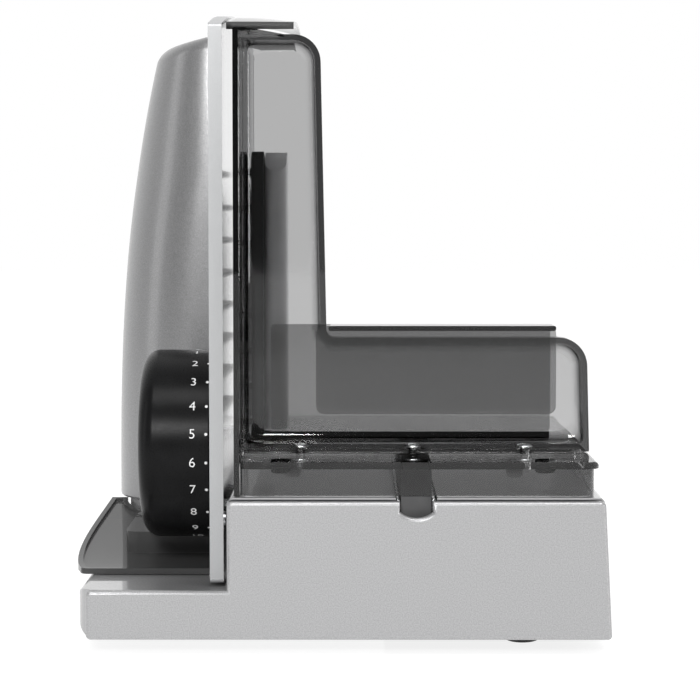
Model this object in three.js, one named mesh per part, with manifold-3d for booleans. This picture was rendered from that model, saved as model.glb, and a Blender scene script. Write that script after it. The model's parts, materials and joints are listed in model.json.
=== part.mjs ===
// Household food slicer: base, motor tower, circular blade, gauge plate with thickness dial,
// slice tray, and a clear sliding carriage with its remnant holder.
//
// Frame: millimetres, +Z up. The user stands at -Y and pushes the carriage towards +Y.
// The origin is on the table, below the middle of the object's box.

import * as THREE from 'three';
import { mergeVertices } from 'three/addons/utils/BufferGeometryUtils.js';
import Module from 'manifold-3d';

const wasm = await Module();
wasm.setup();

// ---------------------------------------------------------------- driving dimensions

const GAP = 0.3;                 // clearance kept between touching pieces
const WALL = 2.5;                // usual wall of a moulded piece

const BASE = {
  left: -118.6, right: 128, rightTop: 124.7,
  front: -170, back: 170,
  bottom: 7.2, lowTop: 30, highTop: 72.7,
  step: -49.4,                   // left face of the high part
  corner: 12, edge: 4, heel: 7,    // plan corners, front view corners, rounded foot of the left side
};
const PANEL = { left: -114.5, thick: 2.7, top: 71.3, corner: 2.5 };
const NOTCH = { side: 66.5, bottom: 63.7 };
const FEET = { places: [[-95, -105], [-95, 135], [89, -132], [89, 135]], radius: 8, tall: 6.9 };
const PEDESTAL = { left: -113, front: -4, back: 164, top: 48.7, corner: 28 };
const COVER = { thick: 2, inset: WALL + GAP, corner: 9 };
const CHANNEL = { middle: 37.8, width: 15, wall: 2, bottom: 61, lip: 1.4, back: 160, guideBack: -20 };
const GLAND = { x: -80, z: 17.5, radius: 7.6, bore: 3.6, long: 7.7 };

const TOWER = {
  right: -58, left: -119, front: -8, back: 152,
  bottom: 49, top: 298.6, wall: 3, corner: 42, crown: 6.5,
  lean: 22.5, leanPower: 2.54,   // how far the left side leans in at the top, and how late
  frontLean: 10, backLean: 26,
  fall: 0.24,                    // how steeply the top falls towards the left
};
const ARCH = { top: 303.4, crest: 10, radius: 1040 };   // the common arch along the machine's top
const HUB = { hole: 33, radius: 30 };
const BUTTONS = {
  left: -118.6, depth: 8, y: 45, clear: 0.6,
  switchLeft: -103, switchRight: -93,
  start: { z: 98, halfWide: 11, halfTall: 10, corner: 3.5 },
  lock: { z: 122, radius: 6.5 },
  spring: { radius: 3.5, wire: 0.5, turns: 4 },
};

const BLADE = { y: 50, z: 167, radius: 85, thick: 1.5, face: -51.9, waves: 60, depth: 1.1 };
const PLATE = {
  left: -57.8, right: -51.4, front: -158, back: -13,
  bottom: 31.6, lift: 50, toe: 33, arcClear: 2.5, corner: 1.5,
};
const RODS = { radius: 4, z: 58, y: [-134, -30], right: 20 };
const CAM_PIN = { radius: 2.5, reach: 30, tip: -80 };
const GUIDE = { left: -42, right: -12, margin: 10, halfTall: 9 };
const DIAL = { y: -105, z: 91.6, radius: 45.3, left: -93.8, right: -58.5, edge: 9, wall: 3 };
const TURN = { degrees: 340, travel: 20 };
const SPINDLE = { radius: 6, left: -89.8, socket: 10 };

const CARRIAGE = {
  left: -46.2, floorLeft: -43.4, right: 119.9, skirtRight: 122.4,
  front: -165, back: 60,
  floor: 89, floorThick: 3, skirtBottom: 73.2,
};
const GLIDES = { x: [-25, 98], inset: 14, radius: 4.7, tall: 3, edge: 0.8 };
const SCREWS = { x: [-16.6, 37.1, 90.4], y: -124, hole: 2.3, shank: 2, head: 4 };
const GUARD = {
  wall: -115, rimFront: -165, top: 287.5, right: -4, corner: 13,
  lowTop: 144, lowRight: 121.5, lowCorner: 14, bead: 2.5, beadDepth: 8,
};
const ROOF = { left: -50.4, right: -19, front: -153, back: -13, thick: 3.5, fall: 5.5 };
const HOLDER = {
  front: -109.2, back: 22, left: -41.4, thick: 7, bottom: 92.3, top: 234,
  shoulder: 30,                  // rounding of the plate's upper rear corner
  tip: -46, ribs: 8, ribPitch: 17.2, ribTall: 4.2,
  panel: { left: -31, right: 103.5, bottom: 98, top: 149.7, thick: 2.5 },
  flap: { left: -9, right: 105, bottom: 107.7, front: -127.6, thick: 2.4 },
  rail: { top: 97.6, deep: 3.3 },
  grip: { thick: 10.5, front: -104, back: -70, bottom: 98, top: 232.4, slopeDrop: 9.6, slopeDeep: 13 },
};
const TRAY = {
  front: -124, back: 24, shoulder: -8, left: -121.5, right: -60.5, bow: 5.9,
  bottom: 30.3, rimFront: 33.4, rimBack: 47.9, dish: 1.8, wall: 2.2, chamfer: 4,
  table: { left: -105, front: -83, top: 44.7 },
};
const MOTOR = {
  x: -90, y: 88.5, bottom: 62, top: 140,
  shaft: { radius: 4, bottom: 53, top: 197 },
  field: { outer: 24, inner: 17.5, halfDeep: 22, bottom: 70, top: 125 },
  core: { radius: 16.6, slots: 12, slotRadius: 1.4, bottom: 72, top: 123 },
  commutator: { radius: 9.5, bottom: 124, top: 134 },
  brush: { near: 10, far: 22, halfWide: 3.5 },
  fan: { hub: 9, hubTall: 7, disc: 23, discThick: 1.2, vanes: 8, vane: [15, 1.2, 6] },
  bearing: { radius: 10, tall: 6, lower: 54, upper: 188 },
};
const WORM = { radius: 6, bottom: 151, top: 184, thread: 1.6, threadBottom: 154, threadTop: 181, turns: 5 };
const WHEEL = { radius: 29, x: -96, width: 12, teeth: 30, depth: 2.4 };
const SHAFT = { radius: 5, left: -107.5, bearing: 13, bearings: { left: [-106, -99], right: [-76, -66] } };
const FRAME = {
  left: [-106, -99], right: [-76, -62],
  front: 30, back: 112, bottom: 142, top: 200,
  sill: { front: 72, thick: 6 }, cap: { front: 76, bottom: 187 }, rear: 5,
  post: { halfWide: 2.5, x: 16.5, y: 14 },
};

// ---------------------------------------------------------------- materials

const paint = (color, roughness, metalness) =>
  new THREE.MeshStandardMaterial({ color, roughness, metalness });
const clearSmoke = () => new THREE.MeshStandardMaterial({
  color: 0x4a4a4a, roughness: 0.1, metalness: 0, transparent: true, opacity: 0.55,
});

const silverPaint = () => paint(0xb9babb, 0.35, 0.6);
const aluminium = () => paint(0xc9cacc, 0.4, 0.9);
const blackPlastic = () => paint(0x1c1c1d, 0.4, 0);
const greyPlastic = () => paint(0x8c8d8f, 0.5, 0);
const rubber = () => paint(0x161616, 0.9, 0);
const steel = () => paint(0xd4d6d8, 0.25, 1);
const copper = () => paint(0xb4703a, 0.35, 1);
const nylon = () => paint(0xe8e4d8, 0.5, 0);

// ---------------------------------------------------------------- solids

/** Turns a closed geometry into a manifold solid whose faces point out. */
function solid(geometry) {
  const bare = geometry.clone();
  bare.deleteAttribute('normal');
  bare.deleteAttribute('uv');
  const merged = mergeVertices(bare, 1e-4);
  const vertProperties = new Float32Array(merged.attributes.position.array);
  const triVerts = new Uint32Array(merged.index.array);
  const body = new wasm.Manifold(new wasm.Mesh({ numProp: 3, vertProperties, triVerts }));
  if (body.volume() > 0) return body;
  for (let i = 0; i < triVerts.length; i += 3) {
    [triVerts[i], triVerts[i + 1]] = [triVerts[i + 1], triVerts[i]];
  }
  return new wasm.Manifold(new wasm.Mesh({ numProp: 3, vertProperties, triVerts }));
}

const join = (first, ...rest) => rest.reduce((sum, other) => sum.add(other), first);
const cut = (first, ...rest) => rest.reduce((sum, other) => sum.subtract(other), first);

/** An axis-aligned block between two corners. */
function block(x0, x1, y0, y1, z0, z1) {
  const geometry = new THREE.BoxGeometry(x1 - x0, y1 - y0, z1 - z0);
  geometry.translate((x0 + x1) / 2, (y0 + y1) / 2, (z0 + z1) / 2);
  return solid(geometry);
}

/** Basis that sends a shape's plane and its extrusion onto the wanted axis. */
const BASIS = {
  x: [new THREE.Vector3(0, 1, 0), new THREE.Vector3(0, 0, 1), new THREE.Vector3(1, 0, 0)],
  y: [new THREE.Vector3(1, 0, 0), new THREE.Vector3(0, 0, 1), new THREE.Vector3(0, -1, 0)],
  z: [new THREE.Vector3(1, 0, 0), new THREE.Vector3(0, 1, 0), new THREE.Vector3(0, 0, 1)],
};

/** Extrudes a shape along an axis: (y, z) along x, (x, z) along y, (x, y) along z. */
function prism(axis, shape, from, to, curveSegments = 8) {
  const depth = to - from;
  const geometry = new THREE.ExtrudeGeometry(shape, { depth, bevelEnabled: false, curveSegments });
  geometry.translate(0, 0, axis === 'y' ? -to : from);
  geometry.applyMatrix4(new THREE.Matrix4().makeBasis(...BASIS[axis]));
  return solid(geometry);
}

/** A closed outline through corner points [u, v, radius], with each corner rounded. */
function roundedOutline(corners, steps = 5) {
  const points = [];
  const count = corners.length;
  corners.forEach(([u, v, radius = 0], i) => {
    const here = new THREE.Vector2(u, v);
    if (radius === 0) {
      points.push(here);
      return;
    }
    const before = new THREE.Vector2(...corners[(i + count - 1) % count]).sub(here).normalize();
    const after = new THREE.Vector2(...corners[(i + 1) % count]).sub(here).normalize();
    const half = Math.acos(before.dot(after)) / 2;
    const reach = radius / Math.tan(half);
    const start = here.clone().addScaledVector(before, reach);
    const end = here.clone().addScaledVector(after, reach);
    const bisector = before.clone().add(after).normalize();
    const centre = here.clone().addScaledVector(bisector, radius / Math.sin(half));
    const a0 = Math.atan2(start.y - centre.y, start.x - centre.x);
    let sweep = Math.atan2(end.y - centre.y, end.x - centre.x) - a0;
    if (sweep > Math.PI) sweep -= 2 * Math.PI;
    if (sweep < -Math.PI) sweep += 2 * Math.PI;
    for (let s = 0; s <= steps; s += 1) {
      const angle = a0 + (sweep * s) / steps;
      points.push(new THREE.Vector2(
        centre.x + radius * Math.cos(angle), centre.y + radius * Math.sin(angle)));
    }
  });
  return new THREE.Shape(points);
}

/** A rounded rectangle outline. */
function roundedRect(u0, u1, v0, v1, radius, steps = 5) {
  return roundedOutline(
    [[u0, v0, radius], [u1, v0, radius], [u1, v1, radius], [u0, v1, radius]], steps);
}

/** Revolves a closed profile of [radius, along] points about an axis through (u, v). */
function turned(axis, profile, u, v, segments = 40) {
  const points = profile.map(([radius, along]) => new THREE.Vector2(radius, along));
  const geometry = new THREE.LatheGeometry(points, segments);
  if (axis === 'x') geometry.rotateZ(-Math.PI / 2).translate(0, u, v);
  if (axis === 'y') geometry.translate(u, 0, v);
  if (axis === 'z') geometry.rotateX(Math.PI / 2).translate(u, v, 0);
  return solid(geometry);
}

/** A plain round rod along an axis through (u, v). */
function rod(axis, radius, from, to, u, v, segments = 32) {
  return turned(axis, [[0, from], [radius, from], [radius, to], [0, to]], u, v, segments);
}

/** A round tube along an axis through (u, v). */
function tube(axis, outer, inner, from, to, u, v, segments = 32) {
  return turned(
    axis, [[inner, from], [outer, from], [outer, to], [inner, to], [inner, from]], u, v, segments);
}

const rootGroup = new THREE.Group();
rootGroup.name = 'food_slicer';

/** Adds a solid to the scene as a named mesh. */
function piece(name, body, material) {
  const mesh = body.getMesh();
  const geometry = new THREE.BufferGeometry();
  geometry.setAttribute('position', new THREE.BufferAttribute(mesh.vertProperties, mesh.numProp));
  geometry.setIndex(new THREE.BufferAttribute(mesh.triVerts, 1));
  geometry.computeVertexNormals();
  const item = new THREE.Mesh(geometry, material);
  item.name = name;
  rootGroup.add(item);
}

// ---------------------------------------------------------------- base

/** The stepped front outline of the base, drawn in (x, z) and shrunk by an inset. */
function steppedOutline(left, highTop, inset, corner, heel) {
  const lean = (BASE.right - BASE.rightTop) / (BASE.highTop - BASE.bottom);
  const top = highTop - inset;
  return roundedOutline([
    [left + inset, BASE.bottom, heel],
    [BASE.right - inset, BASE.bottom, 0],
    [BASE.right - inset - lean * (top - BASE.bottom), top, corner],
    [BASE.step + inset, top, corner],
    [BASE.step + inset, BASE.lowTop - inset, 0],
    [left + inset, BASE.lowTop - inset, corner],
  ]);
}

/** The base as a full block: stepped front view, rounded plan, and the tower's pedestal. */
function baseBlock(inset) {
  const front = BASE.front + PANEL.thick + GAP + inset;
  const outline = steppedOutline(BASE.left, BASE.highTop, inset, BASE.edge, BASE.heel);
  const stepped = prism('y', outline, front, BASE.back - inset);
  const plan = roundedRect(
    BASE.left + inset, BASE.right - inset, front, BASE.back - inset, BASE.corner - inset);
  const pedestal = roundedOutline([
    [PEDESTAL.left + inset, PEDESTAL.front + inset, PEDESTAL.corner],
    [BASE.step + WALL, PEDESTAL.front + inset],
    [BASE.step + WALL, PEDESTAL.back - inset],
    [PEDESTAL.left + inset, PEDESTAL.back - inset, PEDESTAL.corner / 2],
  ]);
  return join(
    stepped.intersect(prism('z', plan, BASE.bottom, BASE.highTop)),
    prism('z', pedestal, BASE.bottom, PEDESTAL.top - inset));
}

const channelLeft = CHANNEL.middle - CHANNEL.width / 2;
const channelRight = CHANNEL.middle + CHANNEL.width / 2;

/** The base shell with its openings for the rail, gauge rods, cam pin, drive and mains lead. */
function makeBaseShell() {
  const cavity = join(baseBlock(WALL), block(
    BASE.left + WALL, BASE.right - WALL, BASE.front + 2 * PANEL.thick, BASE.back - WALL,
    BASE.bottom - 1, BASE.bottom + 2 * COVER.thick));
  const slot = block(
    channelLeft - CHANNEL.wall, channelRight + CHANNEL.wall, BASE.front, CHANNEL.back + CHANNEL.wall,
    CHANNEL.bottom - CHANNEL.wall, BASE.highTop + 1);
  const sideHole = (radius, y, z) => rod('x', radius, BASE.step - 1, BASE.step + 2 * WALL, y, z);
  const rodHoles = RODS.y.map((y) => sideHole(RODS.radius + 1, y, RODS.z));
  const pinHole = sideHole(CAM_PIN.radius + GAP, DIAL.y, DIAL.z - CAM_PIN.reach);
  const driveHole = block(-112, -66, FRAME.front, 120, PEDESTAL.top - WALL - 1, PEDESTAL.top + 1);
  const glandHole = rod(
    'y', GLAND.radius + GAP, BASE.back - 2 * WALL, BASE.back + 1, GLAND.x, GLAND.z);
  piece('base_housing', cut(
    baseBlock(0), cavity, slot, ...rodHoles, pinHole, driveHole, glandHole), silverPaint());
}

/** The flat front panel, with a shallow round notch below the carriage guide. */
function makeFrontPanel() {
  const dip = NOTCH.side - NOTCH.bottom;
  const radius = ((CHANNEL.width / 2) ** 2 + dip ** 2) / (2 * dip);
  const before = BASE.front - 1;
  const behind = BASE.front + PANEL.thick + 1;
  const notch = rod('y', radius, before, behind, CHANNEL.middle, NOTCH.bottom + radius, 96)
    .intersect(block(
      channelLeft, channelRight, before, behind, NOTCH.bottom - 1, BASE.highTop + 1));
  const outline = steppedOutline(PANEL.left, PANEL.top, 0, PANEL.corner, PANEL.corner);
  const panel = prism('y', outline, BASE.front, BASE.front + PANEL.thick);
  piece('base_front_panel', cut(panel, notch), silverPaint());
}

/** The plate that closes the base from below, and the four feet. */
function makeUnderside() {
  const front = BASE.front + PANEL.thick + WALL + 2 * GAP;
  const cover = roundedRect(
    BASE.left + COVER.inset, BASE.right - COVER.inset, front, BASE.back - COVER.inset, COVER.corner);
  piece('bottom_cover', prism('z', cover, BASE.bottom, BASE.bottom + COVER.thick), blackPlastic());

  const { radius, tall } = FEET;
  const sole = [[0, 0], [radius - 1, 0], [radius, 1], [radius, tall], [0, tall]];
  FEET.places.forEach(([x, y], i) => {
    piece(`foot_${i + 1}`, turned('z', sole, x, y, 24), rubber());
  });
}

/** The open channel that the carriage's guide runs in. */
function makeRail() {
  const outside = block(
    channelLeft - CHANNEL.wall + GAP, channelRight + CHANNEL.wall - GAP,
    BASE.front + 2 * PANEL.thick + 2 * WALL - GAP, CHANNEL.back,
    CHANNEL.bottom - CHANNEL.wall + GAP, BASE.highTop - CHANNEL.lip);
  const hollow = block(
    channelLeft, channelRight, BASE.front, CHANNEL.back - 2 * CHANNEL.wall,
    CHANNEL.bottom, BASE.highTop + 1);
  piece('carriage_rail', cut(outside, hollow), blackPlastic());
}

/** The bushing that lines the hole for a mains lead. */
function makeGland() {
  const outside = BASE.back - GAP;
  const inside = outside - GLAND.long;
  piece('cord_gland', cut(
    rod('y', GLAND.radius, inside, outside, GLAND.x, GLAND.z, 24),
    rod('y', GLAND.bore, inside - 1, outside + 1, GLAND.x, GLAND.z, 16)), rubber());
}

// ---------------------------------------------------------------- motor tower

/** Height of the common arch over the machine at a place along its length. */
const archHeight = (y) => ARCH.top - (y - ARCH.crest) ** 2 / (2 * ARCH.radius);

/** Skins a stack of point rings into one closed solid. */
function loft(rings) {
  const count = rings[0].length;
  const positions = rings.flat().flatMap((p) => [p.x, p.y, p.z]);
  const index = [];
  for (let r = 0; r + 1 < rings.length; r += 1) {
    for (let i = 0; i < count; i += 1) {
      const a = r * count + i;
      const b = r * count + ((i + 1) % count);
      index.push(a, b, a + count, b, b + count, a + count);
    }
  }
  [[0, true], [rings.length - 1, false]].forEach(([r, flip]) => {
    for (let i = 1; i + 1 < count; i += 1) {
      const fan = [r * count, r * count + i, r * count + i + 1];
      index.push(...(flip ? fan.reverse() : fan));
    }
  });
  const geometry = new THREE.BufferGeometry();
  geometry.setAttribute('position', new THREE.Float32BufferAttribute(positions, 3));
  geometry.setIndex(index);
  return solid(geometry);
}

/** One level ring of the tower: flat on the blade side, round on the outer side. */
function towerRing(level, inset, shrink) {
  const rise = Math.max(0, level - TOWER.bottom) / (TOWER.top - TOWER.bottom);
  const left = TOWER.left + TOWER.lean * rise ** TOWER.leanPower + inset + shrink;
  const right = TOWER.right - inset - shrink * 0.2;
  const front = TOWER.front + TOWER.frontLean * rise ** 3 + inset + shrink;
  const back = TOWER.back - TOWER.backLean * rise ** 2 - inset - shrink;
  const sharp = 6;
  const corner = Math.min(TOWER.corner - inset - shrink * 0.5, right - left - 1.5 * sharp);
  const outline = roundedOutline([
    [right, front, sharp], [right, back, sharp], [left, back, corner], [left, front, corner]], 7);
  const lowered = rise > 0.5 ? inset : 0;
  return outline.getPoints().map((p) => {
    const drop = ARCH.top - archHeight(p.y) + TOWER.fall * (right - p.x);
    return new THREE.Vector3(p.x, p.y, level - drop * rise ** 3 - lowered);
  });
}

/** The tower's outside or inside form, with a rounded crown. */
function towerForm(inset, bottom) {
  const { crown } = TOWER;
  const shoulder = TOWER.top - crown;
  const levels = 8;
  const rings = Array.from({ length: levels }, (_, i) => towerRing(
    bottom + (shoulder - bottom) * (i / (levels - 1)) ** 0.8, inset, 0));
  const steps = 5;
  for (let step = 1; step <= steps; step += 1) {
    const angle = (step / steps) * (Math.PI / 2) * 0.93;
    rings.push(towerRing(
      shoulder + crown * Math.sin(angle), inset, crown * (1 - Math.cos(angle))));
  }
  return loft(rings);
}

/** The hollow tower, with openings for the blade's hub and the two buttons. */
function makeTower() {
  const { y, clear, start, lock } = BUTTONS;
  const hubHole = rod('x', HUB.hole, TOWER.right - 2 * TOWER.wall, TOWER.right + 1, BLADE.y, BLADE.z);
  const startShape = (grow) => roundedRect(
    y - start.halfWide - grow, y + start.halfWide + grow,
    start.z - start.halfTall - grow, start.z + start.halfTall + grow, start.corner + grow);
  const outside = TOWER.left - 5;
  const from = BUTTONS.left;
  const to = BUTTONS.left + BUTTONS.depth;
  piece('motor_housing', cut(
    towerForm(0, TOWER.bottom), towerForm(TOWER.wall, TOWER.bottom - 2), hubHole,
    prism('x', startShape(clear), outside, to),
    rod('x', lock.radius + clear, outside, to, y, lock.z)), silverPaint());

  piece('start_button', prism('x', startShape(0), from, to), blackPlastic());
  piece('lock_button', rod('x', lock.radius, from, to, y, lock.z, 24), greyPlastic());
  piece('switch_body', block(
    BUTTONS.switchLeft, BUTTONS.switchRight, y - start.halfWide, y + start.halfWide,
    start.z - start.halfTall, lock.z + lock.radius), blackPlastic());
  [['start_spring', start.z], ['lock_spring', lock.z]].forEach(([name, z]) => {
    piece(name, coilSpring(to + GAP, BUTTONS.switchLeft - GAP, y, z), steel());
  });
}

/** A helix about an axis parallel to x. */
class Helix extends THREE.Curve {
  constructor(from, to, radius, turns, y, z) {
    super();
    Object.assign(this, { from, to, radius, turns, y, z });
  }

  getPoint(t, target = new THREE.Vector3()) {
    const angle = t * this.turns * 2 * Math.PI;
    return target.set(
      this.from + (this.to - this.from) * t,
      this.y + this.radius * Math.cos(angle),
      this.z + this.radius * Math.sin(angle));
  }
}

/** The geometry of a small round section swept along a curve. */
function swept(curve, radius, steps, sides = 6) {
  const section = new THREE.Shape(Array.from({ length: sides }, (_, i) => {
    const angle = (i / sides) * 2 * Math.PI;
    return new THREE.Vector2(radius * Math.cos(angle), radius * Math.sin(angle));
  }));
  return new THREE.ExtrudeGeometry(section, { steps, bevelEnabled: false, extrudePath: curve });
}

function coilSpring(from, to, y, z) {
  const { radius, wire, turns } = BUTTONS.spring;
  return solid(swept(new Helix(from + wire, to - wire, radius, turns, y, z), wire, 9 * turns));
}

// ---------------------------------------------------------------- drive

/** Places a number of copies of a piece evenly round the motor's axis. */
const aroundMotor = (count, make) => Array.from(
  { length: count }, (_, i) => make((i / count) * 2 * Math.PI));

/** The field, armature, commutator and brushes, all about one upright shaft. */
function makeMotor() {
  const { x, y, shaft, field, core, commutator, brush } = MOTOR;
  const bore = shaft.radius + GAP;
  piece('motor_shaft', rod('z', shaft.radius, shaft.bottom, shaft.top, x, y, 24), steel());
  const stack = tube('z', field.outer, field.inner, field.bottom, field.top, x, y, 40);
  const flats = block(
    x - field.outer, x + field.outer, y - field.halfDeep, y + field.halfDeep, MOTOR.bottom, MOTOR.top);
  piece('motor_field', stack.intersect(flats), steel());

  const slotRing = core.radius - 1;
  const slots = aroundMotor(core.slots, (angle) => rod(
    'z', core.slotRadius, MOTOR.bottom, MOTOR.top,
    x + slotRing * Math.cos(angle), y + slotRing * Math.sin(angle), 8));
  const body = tube('z', core.radius, bore, core.bottom, core.top, x, y, 36);
  piece('armature', cut(body, ...slots), copper());
  piece('commutator', tube(
    'z', commutator.radius, bore, commutator.bottom, commutator.top, x, y, 24), copper());
  [-1, 1].forEach((side, i) => {
    const ends = [x + side * brush.near, x + side * brush.far].sort((a, b) => a - b);
    const middle = (commutator.bottom + commutator.top) / 2;
    piece(`brush_holder_${i + 1}`, block(
      ...ends, y - brush.halfWide, y + brush.halfWide,
      middle - brush.halfWide, middle + brush.halfWide), copper());
  });
  makeFan(bore);
  [['lower', MOTOR.bearing.lower], ['upper', MOTOR.bearing.upper]].forEach(([name, bottom]) => {
    piece(`motor_bearing_${name}`, tube(
      'z', MOTOR.bearing.radius, bore, bottom, bottom + MOTOR.bearing.tall, x, y, 24), steel());
  });
  const wormCore = tube('z', WORM.radius, bore, WORM.bottom, WORM.top, x, y, 16);
  piece('worm', join(wormCore, wormThread()), steel());
}

/** The cooling fan: a hub and a thin disc that carries flat vanes. */
function makeFan(bore) {
  const { x, y, bottom, fan } = MOTOR;
  const [long, thick, tall] = fan.vane;
  const vanes = aroundMotor(fan.vanes, (angle) => {
    const vane = new THREE.BoxGeometry(long, thick, tall).translate(long, 0, 0);
    return solid(vane.rotateZ(angle).translate(x, y, bottom + tall / 2));
  });
  piece('cooling_fan', cut(
    join(
      rod('z', fan.hub, bottom, bottom + fan.hubTall, x, y, 24),
      rod('z', fan.disc, bottom, bottom + fan.discThick, x, y, 32), ...vanes),
    rod('z', bore, bottom - 1, bottom + fan.hubTall + 1, x, y, 24)), nylon());
}

/** The worm's thread: a helix that stands on the worm's core. */
function wormThread() {
  const { radius, thread, threadBottom, threadTop, turns } = WORM;
  const helix = new Helix(threadBottom, threadTop, radius + 0.2, turns, 0, 0);
  const geometry = swept(helix, thread, 8 * turns);
  geometry.rotateY(-Math.PI / 2).translate(MOTOR.x, MOTOR.y, 0);
  return solid(geometry);
}

/** A toothed disc outline in (y, z) about the blade axis. */
function toothedOutline(radius, depth, teeth, rounding = 4) {
  const points = [];
  for (let i = 0; i < teeth * rounding; i += 1) {
    const angle = (i / (teeth * rounding)) * 2 * Math.PI;
    const wave = 0.5 + 0.5 * Math.cos(angle * teeth);
    const r = radius - depth * (1 - wave);
    points.push(new THREE.Vector2(BLADE.y + r * Math.cos(angle), BLADE.z + r * Math.sin(angle)));
  }
  return new THREE.Shape(points);
}

/** The blade with its hub and screw, and the shaft, wheel and bearings behind it. */
function makeBladeDrive() {
  const { y, z, face } = BLADE;
  const bore = SHAFT.radius + GAP;
  const boreTool = rod('x', bore, TOWER.left, face + 2 * BLADE.thick, y, z, 24);
  const disc = prism(
    'x', toothedOutline(BLADE.radius, BLADE.depth, BLADE.waves, 2), face - BLADE.thick, face);
  piece('blade', cut(disc, boreTool), steel());
  const hubRight = face - BLADE.thick - GAP;
  piece('blade_hub', cut(
    rod('x', HUB.radius, TOWER.right + GAP, hubRight, y, z, 40), boreTool), blackPlastic());
  piece('blade_screw', bladeScrew(face + GAP), blackPlastic());
  piece('blade_shaft', rod('x', SHAFT.radius, SHAFT.left, face - 2 * GAP, y, z, 24), steel());
  const wheel = prism(
    'x', toothedOutline(WHEEL.radius, WHEEL.depth, WHEEL.teeth), WHEEL.x, WHEEL.x + WHEEL.width);
  piece('worm_wheel', cut(wheel, boreTool), nylon());
  Object.entries(SHAFT.bearings).forEach(([name, [from, to]]) => {
    piece(`shaft_bearing_${name}`, tube('x', SHAFT.bearing, bore, from, to, y, z, 28), steel());
  });
}

/** The slotted screw on the blade's middle. */
function bladeScrew(from) {
  const { y, z } = BLADE;
  const radius = 15;
  const thick = 2.8;
  const slope = 1.2;
  const dome = [
    [0, from], [radius, from], [radius, from + thick - slope],
    [radius - 2.5 * slope, from + thick], [0, from + thick]];
  const coinSlot = block(from + thick - 1, from + thick + 1, y - 10, y + 10, z - 1.5, z + 1.5);
  return cut(turned('x', dome, y, z, 36), coinSlot);
}

/** The cast frame that holds the worm, its wheel and the motor. */
function makeDriveFrame() {
  const { y, z } = BLADE;
  const { left, right, front, back, bottom, top, sill, cap, rear, post } = FRAME;
  const posts = [-1, 1].flatMap((sideX) => [-1, 1].map((sideY) => {
    const postX = MOTOR.x + sideX * post.x;
    const postY = MOTOR.y + sideY * post.y;
    return block(
      postX - post.halfWide, postX + post.halfWide, postY - post.halfWide, postY + post.halfWide,
      MOTOR.field.top + GAP, bottom + 1);
  }));
  const casting = join(
    block(...left, front, back, bottom, top),
    block(...right, front, back, bottom, top),
    block(left[0], right[1], sill.front, back, bottom, bottom + sill.thick),
    block(left[0], right[1], cap.front, back, cap.bottom, top),
    block(left[0], right[1], back - rear, back, bottom, top),
    ...posts);
  const motorSeat = MOTOR.bearing.radius + GAP;
  piece('drive_frame', cut(
    casting,
    rod('x', SHAFT.bearing + GAP, left[0] - 4, right[1] + 2, y, z, 28),
    rod('z', motorSeat, bottom - 1, bottom + sill.thick + 1, MOTOR.x, MOTOR.y, 28),
    rod('z', motorSeat, cap.bottom - 1, top + 1, MOTOR.x, MOTOR.y, 28)), aluminium());
}

// ---------------------------------------------------------------- gauge plate and dial

/** The gauge plate's outline in (y, z): a toe at the front, and the arch along its top. */
function plateOutline() {
  const { front, back, bottom, lift, toe, corner } = PLATE;
  const points = [
    [front, bottom, 2.5], [front + toe, bottom, 2], [front + toe, lift, 2], [back, lift, 2]];
  const steps = 8;
  for (let i = 0; i <= steps; i += 1) {
    const y = back + (front - back) * (i / steps);
    points.push([y, archHeight(y), i === steps ? corner : 0]);
  }
  return roundedOutline(points);
}

/** The gauge plate, the two rods it slides on, their guide, and the fixed cam pin. */
function makeGauge() {
  const { left, right } = PLATE;
  const pinZ = DIAL.z - CAM_PIN.reach;
  const bladeRoom = rod(
    'x', BLADE.radius + PLATE.arcClear, left - 1, right + 1, BLADE.y, BLADE.z, 96);
  const pinRoom = rod('x', CAM_PIN.radius + 1, left - 1, right + 1, DIAL.y, pinZ, 20);
  piece('gauge_plate', cut(prism('x', plateOutline(), left, right), bladeRoom, pinRoom), aluminium());
  RODS.y.forEach((y, i) => {
    piece(`gauge_rod_${i + 1}`, rod(
      'x', RODS.radius, right + GAP, RODS.right, y, RODS.z, 24), steel());
  });
  const hole = (radius, y, z) => rod('x', radius + GAP, GUIDE.left - 1, GUIDE.right + 1, y, z, 24);
  piece('gauge_guide', cut(
    block(
      GUIDE.left, GUIDE.right, RODS.y[0] - GUIDE.margin, RODS.y[1] + GUIDE.margin,
      RODS.z - GUIDE.halfTall, RODS.z + GUIDE.halfTall),
    ...RODS.y.map((y) => hole(RODS.radius, y, RODS.z)), hole(CAM_PIN.radius, DIAL.y, pinZ)), nylon());
  piece('cam_pin', rod('x', CAM_PIN.radius, CAM_PIN.tip, GUIDE.right, DIAL.y, pinZ, 20), steel());
}

/** The hollow thickness dial, its spindle and its face cam. */
function makeDial() {
  const { left, right, radius, edge, wall } = DIAL;
  piece('dial_spindle', rod(
    'x', SPINDLE.radius, SPINDLE.left, PLATE.left - GAP, DIAL.y, DIAL.z, 24), steel());
  const steps = 6;
  const rounding = Array.from({ length: steps + 1 }, (_, i) => {
    const angle = (i / steps) * (Math.PI / 2);
    return [radius - edge * (1 - Math.sin(angle)), left + edge * (1 - Math.cos(angle))];
  });
  const inside = radius - wall;
  const floor = left + wall;
  const bore = SPINDLE.radius + GAP;
  const socketEnd = PLATE.left - 4;
  const profile = [
    [0, left], ...rounding, [radius, right], [inside, right], [inside, left + edge],
    [inside - edge + wall, floor], [SPINDLE.socket, floor], [SPINDLE.socket, socketEnd],
    [bore, socketEnd], [bore, floor + 2 * GAP], [0, floor + 2 * GAP]];
  piece('thickness_dial', turned('x', profile, DIAL.y, DIAL.z, 48), blackPlastic());
  piece('dial_cam', dialCam(floor + GAP), nylon());
}

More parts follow.
